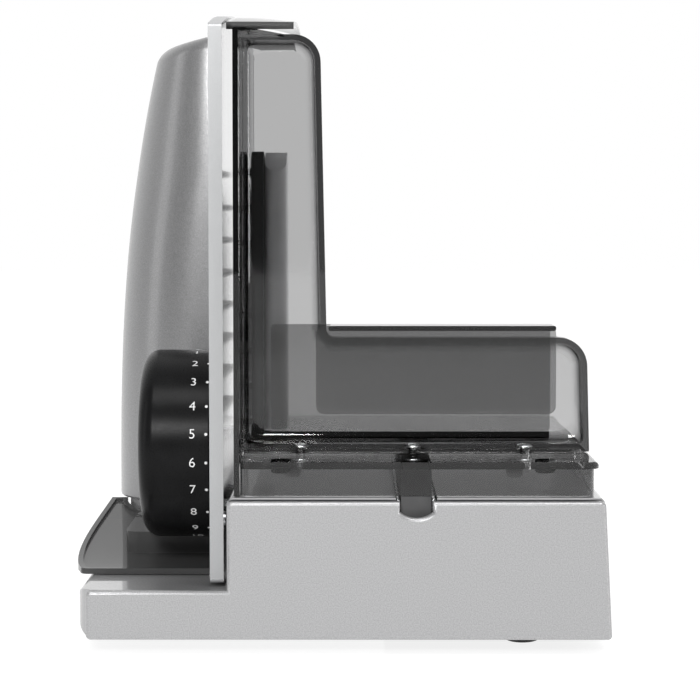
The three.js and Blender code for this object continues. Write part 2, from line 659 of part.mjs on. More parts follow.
/** The face cam in the dial: its ramp rises by the gauge's travel over the dial's turn. */
function dialCam(base) {
  const inner = CAM_PIN.reach - CAM_PIN.radius - 1;
  const outer = CAM_PIN.reach + CAM_PIN.radius + 0.5;
  const clear = 0.8;
  const level = 6;               // degrees of level cam before and after the ramp
  const rings = [];
  for (let degrees = -level; degrees <= TURN.degrees + level; degrees += 8) {
    const along = THREE.MathUtils.clamp(degrees / TURN.degrees, 0, 1) * TURN.travel;
    const angle = THREE.MathUtils.degToRad(degrees);
    const top = CAM_PIN.tip - clear + along;
    const corner = (r, x) => new THREE.Vector3(
      x, DIAL.y + r * Math.sin(angle), DIAL.z - r * Math.cos(angle));
    rings.push([corner(inner, base), corner(outer, base), corner(outer, top), corner(inner, top)]);
  }
  return loft(rings);
}

// ---------------------------------------------------------------- slice tray

/** Height of the tray's rim: low at the front, rising towards the tower. */
function trayRim(y) {
  const along = Math.max(0, y - TRAY.front) / (TRAY.back - TRAY.front);
  return TRAY.rimFront + (TRAY.rimBack - TRAY.rimFront) * along ** 1.4;
}

/** The tray's plan: a bowed left side, and a hollow behind that clears the pedestal. */
function trayOutline(inset) {
  const hollow = PEDESTAL.left - 1.3 - inset;
  const shoulder = TRAY.shoulder - inset;
  const bowed = (along) => TRAY.left - TRAY.bow * Math.sin(Math.PI * along ** 0.7) - 1.5 * along;
  const rear = TRAY.back - inset;
  const points = [
    [TRAY.right, TRAY.front + inset, 0], [TRAY.right, shoulder, 0], [hollow, shoulder, 30],
    [hollow, rear, 0], [bowed(1) + TRAY.chamfer + inset, rear, 0]];
  const steps = 12;
  for (let i = steps; i >= 0; i -= 1) {
    const along = i / steps;
    const y = TRAY.front + inset + (TRAY.back - TRAY.front - 2 * inset) * along;
    points.push([bowed(along) + inset + (i === 0 ? TRAY.chamfer : 0), y, 0]);
  }
  return roundedOutline(points);
}

/** Everything above the tray's rim line, lowered by a drop. */
function aboveRim(drop) {
  const ceiling = TRAY.rimBack + 14;
  const points = [[TRAY.front - 1, ceiling, 0]];
  const steps = 10;
  for (let i = 0; i <= steps; i += 1) {
    const y = TRAY.front - 1 + (TRAY.back - TRAY.front + 2) * (i / steps);
    points.push([y, trayRim(y) - drop, 0]);
  }
  points.push([TRAY.back + 1, ceiling, 0]);
  return prism('x', roundedOutline(points), TRAY.left - 2 * TRAY.bow, TRAY.right + 1);
}

/** The thin dished tray, with a raised hollow table in its middle. */
function makeTray() {
  const ceiling = TRAY.rimBack + 12;
  const sheet = prism('z', trayOutline(0), TRAY.bottom, ceiling)
    .intersect(aboveRim(TRAY.dish + TRAY.wall));
  const dish = prism('z', trayOutline(TRAY.wall), TRAY.bottom, ceiling + 1)
    .intersect(aboveRim(TRAY.dish));
  const { left, front, top } = TRAY.table;
  const under = block(
    left + TRAY.wall, TRAY.right + 1, front + TRAY.wall, TRAY.shoulder + 1,
    TRAY.bottom - 1, top - TRAY.wall);
  const table = block(left, TRAY.right, front, TRAY.shoulder, TRAY.bottom + 2, top);
  const bowl = cut(sheet, aboveRim(0), dish);
  piece('slice_tray', cut(join(bowl, table), under), clearSmoke());
}

// ---------------------------------------------------------------- carriage

/** The carriage's table: a floor with a skirt round three sides. */
function makeCarriageBody() {
  const { front, back, floorLeft, skirtRight, floor, skirtBottom } = CARRIAGE;
  const under = floor - CARRIAGE.floorThick;
  const outline = roundedOutline([
    [floorLeft, front, 4], [skirtRight, front, 8], [skirtRight, back, 8], [floorLeft, back, 4]]);
  const inside = roundedOutline([
    [floorLeft - 1, front + WALL, 0], [skirtRight - WALL, front + WALL, 6],
    [skirtRight - WALL, back + 1, 0], [floorLeft - 1, back + 1, 0]]);
  const screwHoles = SCREWS.x.map(
    (x) => rod('z', SCREWS.hole, under - 1, floor + 1, x, SCREWS.y, 16));
  piece('carriage_body', cut(
    prism('z', outline, skirtBottom, floor), prism('z', inside, skirtBottom - 1, under),
    block(floorLeft - 1, skirtRight - 8, back - 1, back + 1, skirtBottom - 1, under),
    ...screwHoles), clearSmoke());
  makeRunners(under - GAP);
}

/** The guide that runs in the base's channel, and four glides that run on the base's top. */
function makeRunners(top) {
  const play = GAP * 1.5;
  piece('carriage_guide', block(
    channelLeft + play, channelRight - play, CARRIAGE.front + WALL + 1, CHANNEL.guideBack,
    CHANNEL.bottom + 1.2, top), blackPlastic());
  const { radius, tall, edge, inset } = GLIDES;
  const profile = [
    [0, top - tall], [radius - edge, top - tall], [radius, top - tall + edge], [radius, top], [0, top]];
  const rows = [CARRIAGE.front + inset, CARRIAGE.back - inset];
  const places = GLIDES.x.flatMap((x) => rows.map((y) => [x, y]));
  places.forEach(([x, y], i) => {
    piece(`glide_${i + 1}`, turned('z', profile, x, y, 20), blackPlastic());
  });
}

/** The wall's outline in (x, z): the tall hand guard on the left, the low wall on the right. */
function wallOutline(inset, bottom) {
  return roundedOutline([
    [CARRIAGE.left, bottom, 0],
    [GUARD.lowRight - inset, bottom, 0],
    [GUARD.lowRight - inset - 1.5, GUARD.lowTop - inset, GUARD.lowCorner],
    [GUARD.right - inset, GUARD.lowTop - inset, 0],
    [GUARD.right - inset - 3, GUARD.top - inset, GUARD.corner],
    [CARRIAGE.left, GUARD.top - inset, 0],
  ]);
}

/** The clear upright wall with its stiffening bead, guard flange, roof and screwed foot. */
function makeCarriageWall() {
  const base = CARRIAGE.floor + GAP;
  const front = GUARD.wall - GUARD.beadDepth;
  const back = GUARD.wall + WALL;
  const sheet = prism('y', wallOutline(0, base), GUARD.wall, back);
  const bead = cut(
    prism('y', wallOutline(0, base), front, GUARD.wall + 0.5),
    prism('y', wallOutline(GUARD.bead, base - 1), front - 1, GUARD.wall + 1));
  const flange = block(
    CARRIAGE.left, CARRIAGE.floorLeft - GAP, GUARD.rimFront, back, CARRIAGE.skirtBottom, GUARD.top);
  const top = block(
    CARRIAGE.left, GUARD.right - GUARD.corner - 3, GUARD.rimFront, back, GUARD.top - WALL, GUARD.top);
  const stripThick = 2;
  const strip = block(
    CARRIAGE.floorLeft, GUARD.lowRight - 4, SCREWS.y - 2 * SCREWS.head, back, base, base + stripThick);
  const screwHoles = SCREWS.x.map(
    (x) => rod('z', SCREWS.hole, base - 1, base + stripThick + 1, x, SCREWS.y, 16));
  piece('carriage_wall', cut(
    join(sheet, bead, flange, top, strip, guardRoof()), ...screwHoles), clearSmoke());
  makeWallScrews(base + stripThick + GAP);
}

/** The screws that hold the wall's foot to the table. */
function makeWallScrews(seat) {
  const { shank, head, y } = SCREWS;
  const end = CARRIAGE.floor - WALL;
  const tall = 1.5;
  const profile = [
    [0, end], [shank, end], [shank, seat], [head, seat], [head - 0.6, seat + tall], [0, seat + tall]];
  SCREWS.x.forEach((x, i) => {
    piece(`wall_screw_${i + 1}`, turned('z', profile, x, y, 20), steel());
  });
}

/** The guard's roof: a curved sheet that follows the machine's arch and falls to the right. */
function guardRoof() {
  const { left, right, front, back, thick, fall } = ROOF;
  const steps = 8;
  const rings = Array.from({ length: steps + 1 }, (_, i) => {
    const along = i / steps;
    const y = front + (back - front) * along;
    const high = archHeight(y) - 0.5;
    const low = high - fall * along;
    return [
      new THREE.Vector3(left, y, high - thick), new THREE.Vector3(right, y, low - thick),
      new THREE.Vector3(right, y, low), new THREE.Vector3(left, y, high)];
  });
  return loft(rings);
}

// ---------------------------------------------------------------- remnant holder

/** The clear panel that hangs over the carriage wall by its folded flap. */
function makeHolderHook() {
  const { panel, flap, front } = HOLDER;
  const bridgeBottom = panel.top - panel.thick;
  const sheet = roundedRect(panel.left, panel.right, panel.bottom, panel.top, 2, 2);
  const bridge = roundedRect(flap.left + 6, flap.right, bridgeBottom, panel.top, 1, 2);
  const leaf = roundedRect(flap.left, flap.right, flap.bottom, panel.top, 4);
  piece('holder_hook', join(
    prism('y', sheet, front - panel.thick, front),
    prism('y', bridge, flap.front, front),
    prism('y', leaf, flap.front, flap.front + flap.thick)), clearSmoke());
}

/** The black pusher plate with its ribs and rail. */
function makePusher() {
  const { back, left, bottom, top, shoulder, rail } = HOLDER;
  const front = HOLDER.front + GAP;
  const right = left + HOLDER.thick;
  const face = prism('x', roundedOutline([
    [front, bottom, 1], [back, bottom, 4], [back, top - shoulder, shoulder], [front, top, 5]]),
  left, right);
  const ribs = Array.from({ length: HOLDER.ribs }, (_, i) => {
    const z = bottom + 8 + i * HOLDER.ribPitch;
    const short = z + HOLDER.ribTall > top - shoulder ? 40 : 2;
    return block(
      HOLDER.tip, left + 0.5, HOLDER.front + 3, back - short, z, z + HOLDER.ribTall);
  });
  const foot = block(right - 0.5, HOLDER.panel.right, front, front + rail.deep, bottom, rail.top);
  piece('pusher_plate', join(face, foot, ...ribs), blackPlastic());
}

/** The upright grip beside the pusher plate, with a sloping thumb rest at its top. */
function makeGrip() {
  const { grip } = HOLDER;
  const left = HOLDER.left + HOLDER.thick + GAP;
  const right = left + grip.thick;
  const body = prism(
    'z', roundedRect(left, right, grip.front, grip.back, 4.5), grip.bottom, grip.top);
  const slope = prism('x', new THREE.Shape([
    new THREE.Vector2(grip.front, grip.top - grip.slopeDrop),
    new THREE.Vector2(grip.front + grip.slopeDeep, grip.top),
    new THREE.Vector2(grip.front + grip.slopeDeep, grip.top + 1),
    new THREE.Vector2(grip.front - 1, grip.top + 1),
    new THREE.Vector2(grip.front - 1, grip.top - grip.slopeDrop)]), left - 1, right + 1);
  piece('holder_grip', cut(body, slope), greyPlastic());
}

makeBaseShell();
makeFrontPanel();
makeUnderside();
makeRail();
makeGland();
makeTower();
makeMotor();
makeBladeDrive();
makeDriveFrame();
makeGauge();
makeDial();
makeTray();
makeCarriageBody();
makeCarriageWall();
makeHolderHook();
makePusher();
makeGrip();

export default rootGroup;
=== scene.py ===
"""Looks of the household food slicer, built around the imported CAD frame."""

import json
import math

import bmesh
import bpy
from mathutils import Matrix, Vector


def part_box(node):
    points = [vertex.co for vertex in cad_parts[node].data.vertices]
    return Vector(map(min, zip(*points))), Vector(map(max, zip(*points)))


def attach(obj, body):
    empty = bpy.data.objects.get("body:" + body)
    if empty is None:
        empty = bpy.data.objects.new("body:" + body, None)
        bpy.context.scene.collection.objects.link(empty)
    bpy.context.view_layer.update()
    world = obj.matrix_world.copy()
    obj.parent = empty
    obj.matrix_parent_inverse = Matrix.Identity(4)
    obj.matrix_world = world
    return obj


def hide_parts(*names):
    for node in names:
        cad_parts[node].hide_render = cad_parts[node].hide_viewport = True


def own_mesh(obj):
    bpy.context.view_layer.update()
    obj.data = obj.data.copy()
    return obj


MM = 0.001
ON_AXIS = 0.01 * MM           # smallest radius of a turned profile, next to its axis
MERGE = 0.005 * MM            # points nearer than this become one
CLEAR = 0.3 * MM              # gap between neighbouring pieces

ARCH_TOP = 303.4 * MM         # crest of the arch that the plate, tower and guard share
ARCH_CREST = 10 * MM          # where along the machine the crest lies
ARCH_RADIUS = 1040 * MM

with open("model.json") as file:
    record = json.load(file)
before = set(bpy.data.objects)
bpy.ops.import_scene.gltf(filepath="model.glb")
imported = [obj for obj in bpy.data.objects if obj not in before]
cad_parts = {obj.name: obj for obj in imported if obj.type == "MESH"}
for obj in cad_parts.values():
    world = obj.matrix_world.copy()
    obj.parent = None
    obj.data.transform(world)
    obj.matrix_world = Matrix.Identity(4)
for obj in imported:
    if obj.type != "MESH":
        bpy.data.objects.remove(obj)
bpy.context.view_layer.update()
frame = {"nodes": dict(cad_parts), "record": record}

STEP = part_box("gauge_plate")[1].x + 2.0 * MM          # left side of the base's high part
LOW_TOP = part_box("slice_tray")[0].z - CLEAR           # top of the base's low part
GUARD_TOP = 287.5 * MM
GUARD_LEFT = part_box("carriage_body")[0].x - 2.8 * MM


# ---------------------------------------------------------------- outlines and meshes


def arch_height(y):
    """Height of the machine's common arch at a place along its length."""
    return ARCH_TOP - (y - ARCH_CREST) ** 2 / (2 * ARCH_RADIUS)


def rounded(corners, steps=8):
    """A closed outline through (u, v, radius) corners, each corner rounded by an arc."""
    points = []
    count = len(corners)
    for i, (u, v, radius) in enumerate(corners):
        here = Vector((u, v))
        if radius == 0:
            points.append(here)
            continue
        before = (Vector(corners[i - 1][:2]) - here).normalized()
        after = (Vector(corners[(i + 1) % count][:2]) - here).normalized()
        half = before.angle(after) / 2
        start = here + before * (radius / math.tan(half))
        end = here + after * (radius / math.tan(half))
        centre = here + (before + after).normalized() * (radius / math.sin(half))
        first = math.atan2(*(start - centre).yx)
        turn = math.atan2(*(end - centre).yx) - first
        turn = (turn + math.pi) % (2 * math.pi) - math.pi
        for step in range(steps + 1):
            angle = first + turn * step / steps
            points.append(centre + Vector((math.cos(angle), math.sin(angle))) * radius)
    return points


def rectangle(u0, u1, v0, v1, radius, steps=8):
    """A rounded rectangle outline."""
    return rounded([(u0, v0, radius), (u1, v0, radius), (u1, v1, radius), (u0, v1, radius)], steps)


def to_space(axis, u, v, along):
    """Puts a plane point on an axis: (y, z) for x, (x, z) for y and (x, y) for z."""
    return {"x": (along, u, v), "y": (u, along, v), "z": (u, v, along)}[axis]


def new_piece(name, mesh):
    """Adds a mesh to the scene as an object."""
    piece = bpy.data.objects.new(name, mesh)
    bpy.context.scene.collection.objects.link(piece)
    return piece


def from_rings(name, rings, closed=False, triangles=False):
    """Skins a stack of equal point rings: closed round, or with flat caps at its two ends."""
    form = bmesh.new()
    rows = [[form.verts.new(point) for point in ring] for ring in rings]
    count = len(rows[0])
    last = len(rows) if closed else len(rows) - 1
    for r in range(last):
        here = rows[r]
        after = rows[(r + 1) % len(rows)]
        for i in range(count):
            j = (i + 1) % count
            form.faces.new((here[i], here[j], after[j], after[i]))
    if not closed:
        form.faces.new(rows[0][::-1])
        form.faces.new(rows[-1])
    bmesh.ops.recalc_face_normals(form, faces=form.faces)
    if triangles:
        bmesh.ops.triangulate(form, faces=form.faces)
    mesh = bpy.data.meshes.new(name)
    form.to_mesh(mesh)
    form.free()
    return new_piece(name, mesh)


def prism(name, axis, outline, start, end):
    """Extrudes an outline along an axis."""
    rings = [[to_space(axis, p[0], p[1], along) for p in outline] for along in (start, end)]
    return from_rings(name, rings)


def circle(count):
    """Evenly spaced angles round a full turn."""
    return [2 * math.pi * i / count for i in range(count)]


def rings_about(axis, profile, u, v, segments):
    """One ring of points about an axis for each (radius, along) of a profile."""
    return [
        [to_space(axis, u + radius * math.cos(a), v + radius * math.sin(a), along)
         for a in circle(segments)]
        for radius, along in profile]


def turned(name, axis, profile, u, v, segments):
    """Revolves an open (radius, along) profile that starts and ends on its axis."""
    return from_rings(name, rings_about(axis, profile, u, v, segments))


def collar(name, axis, profile, u, v, segments):
    """Revolves a closed (radius, along) profile that stays clear of its axis."""
    return from_rings(name, rings_about(axis, profile, u, v, segments), closed=True)


def cylinder(name, axis, radius, start, end, u, v, segments):
    profile = [(ON_AXIS, start), (radius, start), (radius, end), (ON_AXIS, end)]
    return turned(name, axis, profile, u, v, segments)


def round_part(node, axis="x"):
    """A round CAD part's middle across its axis, and its radius."""
    low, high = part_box(node)
    u, v = {"x": (1, 2), "y": (0, 2), "z": (0, 1)}[axis]
    return (low[u] + high[u]) / 2, (low[v] + high[v]) / 2, (high[u] - low[u]) / 2


def block(name, low, high):
    """An axis-aligned block between two corners."""
    outline = [(low[0], low[1]), (high[0], low[1]), (high[0], high[1]), (low[0], high[1])]
    return prism(name, "z", outline, low[2], high[2])


def combine(piece, other, operation):
    """Joins, cuts or intersects two solids, and removes the second."""
    modifier = piece.modifiers.new("combine", "BOOLEAN")
    modifier.operation = operation
    modifier.object = other
    modifier.solver = "EXACT"
    bake(piece)
    bpy.data.objects.remove(other)
    return piece


def bake(piece):
    """Replaces a piece's mesh by what its modifiers make of it."""
    evaluated = piece.evaluated_get(bpy.context.evaluated_depsgraph_get())
    mesh = bpy.data.meshes.new_from_object(evaluated)
    piece.modifiers.clear()
    piece.data = mesh


def join(piece, *others):
    for other in others:
        combine(piece, other, "UNION")
    return piece


def cut(piece, *others):
    for other in others:
        combine(piece, other, "DIFFERENCE")
    return piece


def tidy(form):
    """Merges points that lie together and faces that lie in one plane."""
    bmesh.ops.remove_doubles(form, verts=form.verts, dist=MERGE)
    bmesh.ops.dissolve_limit(
        form, angle_limit=math.radians(0.2), verts=form.verts, edges=form.edges)


def soften(piece, width, segments=3, angle=32.0, merge=True):
    """Rounds a piece's sharp edges and shades it smoothly."""
    form = bmesh.new()
    form.from_mesh(piece.data)
    if merge:
        tidy(form)
    else:
        bmesh.ops.remove_doubles(form, verts=form.verts, dist=MERGE)
    bmesh.ops.triangulate(form, faces=[f for f in form.faces if len(f.verts) > 4])
    form.to_mesh(piece.data)
    form.free()
    bevel = piece.modifiers.new("rounding", "BEVEL")
    bevel.width = width
    bevel.segments = segments
    bevel.limit_method = "ANGLE"
    bevel.angle_limit = math.radians(angle)
    bevel.miter_outer = "MITER_ARC"
    shade(piece)


def shade(piece):
    """Smooth shading, with normals that follow the larger faces."""
    piece.data.polygons.foreach_set("use_smooth", [True] * len(piece.data.polygons))
    normals = piece.modifiers.new("normals", "WEIGHTED_NORMAL")
    normals.keep_sharp = True
    normals.weight = 80


def dress(piece, body, material, slot, *nodes):
    """Gives a piece its material and body, and hides the CAD nodes that it stands for. The slot is not
    used.
    """
    piece.data.materials.clear()
    piece.data.materials.append(material)
    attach(piece, body)
    if nodes:
        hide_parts(*nodes)


# ---------------------------------------------------------------- materials


class Surface:
    """A material with one principled shader, and short helpers to build its nodes."""

    def __init__(self, name, color, roughness, metallic=0.0):
        self.material = bpy.data.materials.new(name)
        self.material.use_nodes = True
        self.nodes = self.material.node_tree.nodes
        self.links = self.material.node_tree.links
        self.shader = self.nodes["Principled BSDF"]
        self.set("Base Color", (*color, 1.0))
        self.set("Roughness", roughness)
        self.set("Metallic", metallic)
        self.place = self.nodes.new("ShaderNodeTexCoord").outputs["Object"]

    def set(self, socket, value):
        self.shader.inputs[socket].default_value = value

    def noise(self, scale, detail=2.0, stretch=None):
        """Noise at a scale in features per metre, optionally stretched along the axes."""
        texture = self.nodes.new("ShaderNodeTexNoise")
        texture.inputs["Scale"].default_value = scale
        texture.inputs["Detail"].default_value = detail
        place = self.place
        if stretch:
            mapping = self.nodes.new("ShaderNodeMapping")
            mapping.inputs["Scale"].default_value = stretch
            self.links.new(place, mapping.inputs["Vector"])
            place = mapping.outputs["Vector"]
        self.links.new(place, texture.inputs["Vector"])
        return texture.outputs["Fac"]

    def ramp(self, factor, low, high, start=0.35, end=0.65):
        """Maps a 0 to 1 factor between two grey levels or colours."""
        ramp = self.nodes.new("ShaderNodeValToRGB")
        for element, level, position in zip(ramp.color_ramp.elements, (low, high), (start, end)):
            color = level if isinstance(level, tuple) else (level, level, level)
            element.color = (*color, 1.0)
            element.position = position
        self.links.new(factor, ramp.inputs["Fac"])
        return ramp.outputs["Color"]

    def color_from(self, factor, low, high, start=0.35, end=0.65):
        self.links.new(self.ramp(factor, low, high, start, end), self.shader.inputs["Base Color"])

    def roughness_from(self, factor, low, high):
        self.links.new(self.ramp(factor, low, high), self.shader.inputs["Roughness"])

    def texture(self, color_noise, low, high, fine_noise, rough, bump):
        """Uneven colour, uneven roughness and a fine relief, each from its own noise."""
        self.color_from(color_noise, low, high)
        self.roughness_from(fine_noise, *rough)
        self.bump(fine_noise, *bump)

    def moulded(self, scale, low, high, rough):
        """Clouded colour over a faint spark-eroded texture."""
        fine = self.noise(2200.0, 3.0)
        self.texture(self.noise(scale, 4.0), low, high, fine, rough, (0.10, 0.0001))

    def bump(self, height, strength, distance):
        node = self.nodes.new("ShaderNodeBump")
        node.inputs["Strength"].default_value = strength
        node.inputs["Distance"].default_value = distance
        self.links.new(height, node.inputs["Height"])
        self.links.new(node.outputs["Normal"], self.shader.inputs["Normal"])


def silver_paint():
    """Metallic silver paint: fine bright and dark flakes in a smooth clear coat."""
    paint = Surface("silver_paint", (0.4, 0.4, 0.405), 0.38, 0.6)
    flakes = paint.noise(1800.0, 1.5)
    paint.color_from(flakes, (0.345, 0.345, 0.35), (0.45, 0.45, 0.455), 0.34, 0.66)
    paint.roughness_from(paint.noise(900.0, 2.0), 0.34, 0.48)
    paint.bump(flakes, 0.08, 0.0002)
    paint.set("Coat Weight", 0.35)
    paint.set("Coat Roughness", 0.12)
    return paint.material


def shell_paint():
    """The base shell's silver paint under a mirror-smooth clear coat."""
    paint = Surface("shell_paint", (0.5, 0.5, 0.505), 0.4, 0.5)
    flakes = paint.noise(1800.0, 1.5)
    paint.color_from(flakes, (0.36, 0.36, 0.365), (0.39, 0.39, 0.395), 0.34, 0.66)
    paint.roughness_from(paint.noise(900.0, 2.0), 0.34, 0.48)
    paint.set("Coat Weight", 1.0)
    paint.set("Coat Roughness", 0.03)
    paint.set("Coat IOR", 1.6)
    return paint.material


def tower_paint():
    """The tower's glossier silver paint, its colour darker than the base's silver paint as painted
    shade.
    """
    paint = Surface("tower_paint", (0.24, 0.24, 0.243), 0.34, 0.6)
    flakes = paint.noise(2600.0, 1.0)
    paint.color_from(flakes, (0.22, 0.22, 0.223), (0.30, 0.30, 0.303), 0.36, 0.64)
    paint.roughness_from(paint.noise(900.0, 2.0), 0.30, 0.40)
    paint.bump(flakes, 0.06, 0.0002)
    paint.set("Coat Weight", 0.5)
    paint.set("Coat Roughness", 0.15)
    return paint.material


def blasted_aluminium():
    """Anodised aluminium with the fine grain of glass-bead blasting."""
    metal = Surface("blasted_aluminium", (0.5, 0.505, 0.51), 0.36, 0.4)
    grain = metal.noise(3000.0, 2.0)
    metal.color_from(grain, (0.38, 0.385, 0.39), (0.48, 0.485, 0.49))
    metal.roughness_from(metal.noise(900.0, 3.0), 0.30, 0.40)
    metal.bump(grain, 0.05, 0.0001)
    return metal.material


def polished_aluminium():
    """The plate's sliding face: nearly mirror bright, with faint rolling lines."""
    metal = Surface("polished_aluminium", (0.74, 0.745, 0.75), 0.12, 1.0)
    lines = metal.noise(240.0, 4.0, (1.0, 1.0, 14.0))
    metal.texture(
        lines, (0.44, 0.445, 0.45), (0.62, 0.625, 0.63), lines, (0.08, 0.16), (0.04, 0.0001))
    return metal.material


def satin_black():
    """Moulded black plastic with a faint spark-eroded texture."""
    plastic = Surface("satin_black", (0.006, 0.006, 0.0062), 0.3)
    plastic.set("Specular IOR Level", 0.1)
    plastic.moulded(60.0, (0.004, 0.004, 0.0042), (0.008, 0.008, 0.0084), (0.26, 0.34))
    return plastic.material


def dark_grey():
    """Dull dark grey plastic of the carriage guide."""
    plastic = Surface("dark_grey", (0.06, 0.06, 0.062), 0.5)
    plastic.moulded(60.0, (0.07, 0.07, 0.071), (0.10, 0.10, 0.102), (0.44, 0.58))
    return plastic.material


def satin_grey():
    """Pale grey moulded plastic of the grip and the lock button."""
    plastic = Surface("satin_grey", (0.8, 0.8, 0.81), 0.42)
    plastic.moulded(80.0, (0.76, 0.76, 0.77), (0.84, 0.84, 0.85), (0.38, 0.5))
    return plastic.material


def smoke_plastic(name, density, tint=1.0, clearness=1.0, bending=1.49):
    """Clear smoke-grey plastic: it darkens with the length of the light's way through it."""
    clear = Surface(name, (tint, tint, tint), 0.03)
    clear.set("Transmission Weight", clearness)
    clear.set("IOR", bending)
    clear.roughness_from(clear.noise(35.0, 3.0), 0.015, 0.05)
    absorption = clear.nodes.new("ShaderNodeVolumeAbsorption")
    absorption.inputs["Color"].default_value = (0.0, 0.0, 0.004, 1.0)
    absorption.inputs["Density"].default_value = density
    output = clear.nodes["Material Output"]
    clear.links.new(absorption.outputs["Volume"], output.inputs["Volume"])
    return clear.material


def foot_rubber():
    """Soft matt black rubber."""
    rubber = Surface("foot_rubber", (0.012, 0.012, 0.012), 0.75)
    texture = rubber.noise(900.0, 4.0)
    rubber.texture(texture, 0.009, 0.02, texture, (0.68, 0.85), (0.2, 0.0002))
    return rubber.material


def brushed_steel():
    """Ground steel with fine turning lines."""
    steel = Surface("brushed_steel", (0.66, 0.67, 0.68), 0.24, 1.0)
    lines = steel.noise(150.0, 4.0, (1.0, 1.0, 26.0))
    steel.texture(
        lines, (0.60, 0.61, 0.62), (0.73, 0.74, 0.75), lines, (0.17, 0.3), (0.05, 0.0001))
    return steel.material


def wound_copper():
    """Copper with the fine lines of a winding."""
    copper = Surface("wound_copper", (0.6, 0.33, 0.17), 0.32, 1.0)
    lines = copper.noise(260.0, 3.0, (1.0, 1.0, 9.0))
    copper.texture(
        lines, (0.45, 0.22, 0.10), (0.70, 0.42, 0.22), lines, (0.25, 0.42), (0.2, 0.0002))
    return copper.material


def pale_nylon():
    """Undyed nylon of the gears and guides."""
    nylon = Surface("pale_nylon", (0.72, 0.69, 0.60), 0.45)
    nylon.texture(
        nylon.noise(50.0, 3.0), (0.68, 0.65, 0.56), (0.77, 0.74, 0.66),
        nylon.noise(700.0, 4.0), (0.4, 0.55), (0.08, 0.0001))
    return nylon.material


def print_white():
    """White pad-printed ink, slightly uneven."""
    ink = Surface("print_white", (0.80, 0.80, 0.80), 0.5)
    ink.color_from(ink.noise(1500.0, 3.0), 0.72, 0.86)
    return ink.material


SILVER = silver_paint()
SHELL_PAINT = shell_paint()
# painted shade: the tower gets a darker copy of the silver paint
SHADED_TOWER_PAINT = tower_paint()
ALUMINIUM = blasted_aluminium()
POLISHED = polished_aluminium()
BLACK = satin_black()
GREY = satin_grey()
DARK_GREY = dark_grey()
SMOKE = smoke_plastic("smoke_plastic", 300.0)
# painted light: a paler, nearly clear copy of the smoke plastic for the carriage's top faces
LIT_SMOKE = smoke_plastic("lit_smoke_plastic", 4.0, 0.6)
# painted shade: a denser, darker copy of the smoke plastic for the carriage skirt below its lip
SHADED_SKIRT_SMOKE = smoke_plastic("shaded_skirt_smoke_plastic", 520.0)
HOLDER_SMOKE = smoke_plastic("holder_smoke_plastic", 430.0)
# painted shade: a darker, less clear copy of the smoke plastic for the tray and the guard's roof
SHADED_SMOKE = smoke_plastic("shaded_smoke_plastic", 120.0, 0.1, 0.25, 1.15)
RUBBER = foot_rubber()
STEEL = brushed_steel()
COPPER = wound_copper()
NYLON = pale_nylon()
INK = print_white()


# ---------------------------------------------------------------- base

def stepped_outline(node, heel, low_corner, high_corner):
    """The base's stepped front view: low under the slice tray, high under the carriage."""
    low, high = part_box(node)
    shoulder = high.x - 3.3 * MM
    return rounded([
        (low.x, low.z, heel),
        (high.x, low.z, 2.0 * MM),
        (shoulder, high.z, high_corner),
        (STEP, high.z, high_corner),
        (STEP, LOW_TOP, 0),
        (low.x, LOW_TOP, low_corner),
    ])


def base_shell():
    """The base housing: pedestal, guide slot, seam, cord socket and the gauge rods' bores."""
    low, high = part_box("base_housing")
    view = stepped_outline("base_housing", 8 * MM, 3 * MM, 3.5 * MM)
    shell = prism("base_shell", "y", view, low.y, high.y)
    plan = rectangle(low.x, high.x, low.y, high.y, 12 * MM)
    combine(shell, prism("plan", "z", plan, low.z - MM, high.z + MM), "INTERSECT")
    join(shell, pedestal(low.z + MM))
    rail_low, rail_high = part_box("carriage_rail")
    slot = block(
        "slot", (rail_low.x - CLEAR, low.y - MM, rail_low.z - CLEAR),
        (rail_high.x + CLEAR, rail_high.y + 2 * MM, high.z + MM))
    seam_low = low.z + 9 * MM
    seam = block(
        "seam", (low.x - MM, low.y + 20 * MM, seam_low),
        (high.x + MM, high.y + MM, seam_low + 1.0 * MM))
    core = rectangle(low.x + MM, high.x - 2 * MM, low.y, high.y - MM, 11 * MM)
    cut(seam, prism("core", "z", core, low.z, low.z + 20 * MM))
    x, z, _radius = round_part("cord_gland", "y")
    socket_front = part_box("cord_gland")[0].y - MM
    socket = cylinder("socket", "y", 8 * MM, socket_front, high.y + MM, x, z, 48)
    panel_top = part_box("base_front_panel")[1].z
    shadow_gap = block(
        "shadow_gap", (STEP + MM, low.y - MM, panel_top - MM),
        (high.x + MM, low.y + 3 * MM, panel_top + 0.7 * MM))
    cut(shell, slot, seam, socket, shadow_gap)
    for node in ("gauge_rod_1", "gauge_rod_2", "cam_pin"):
        y, z, radius = round_part(node)
        deep_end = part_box(node)[1].x + MM
        cut(shell, cylinder("hole", "x", radius + 0.8 * MM, STEP - MM, deep_end, y, z, 32))
    soften(shell, 1.2 * MM, 4)
    dress(shell, "base", SHELL_PAINT, "silver_paint", "base_housing")


def pedestal(bottom):
    """The raised part of the base that the tower stands on."""
    low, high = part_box("motor_housing")
    left = low.x + 6 * MM
    front = low.y + 4 * MM
    back = high.y + 12 * MM
    right = STEP + 2 * MM
    outline = rounded(
        [(left, front, 28 * MM), (right, front, 0), (right, back, 0), (left, back, 14 * MM)], 14)
    return prism("pedestal", "z", outline, bottom, low.z - CLEAR)


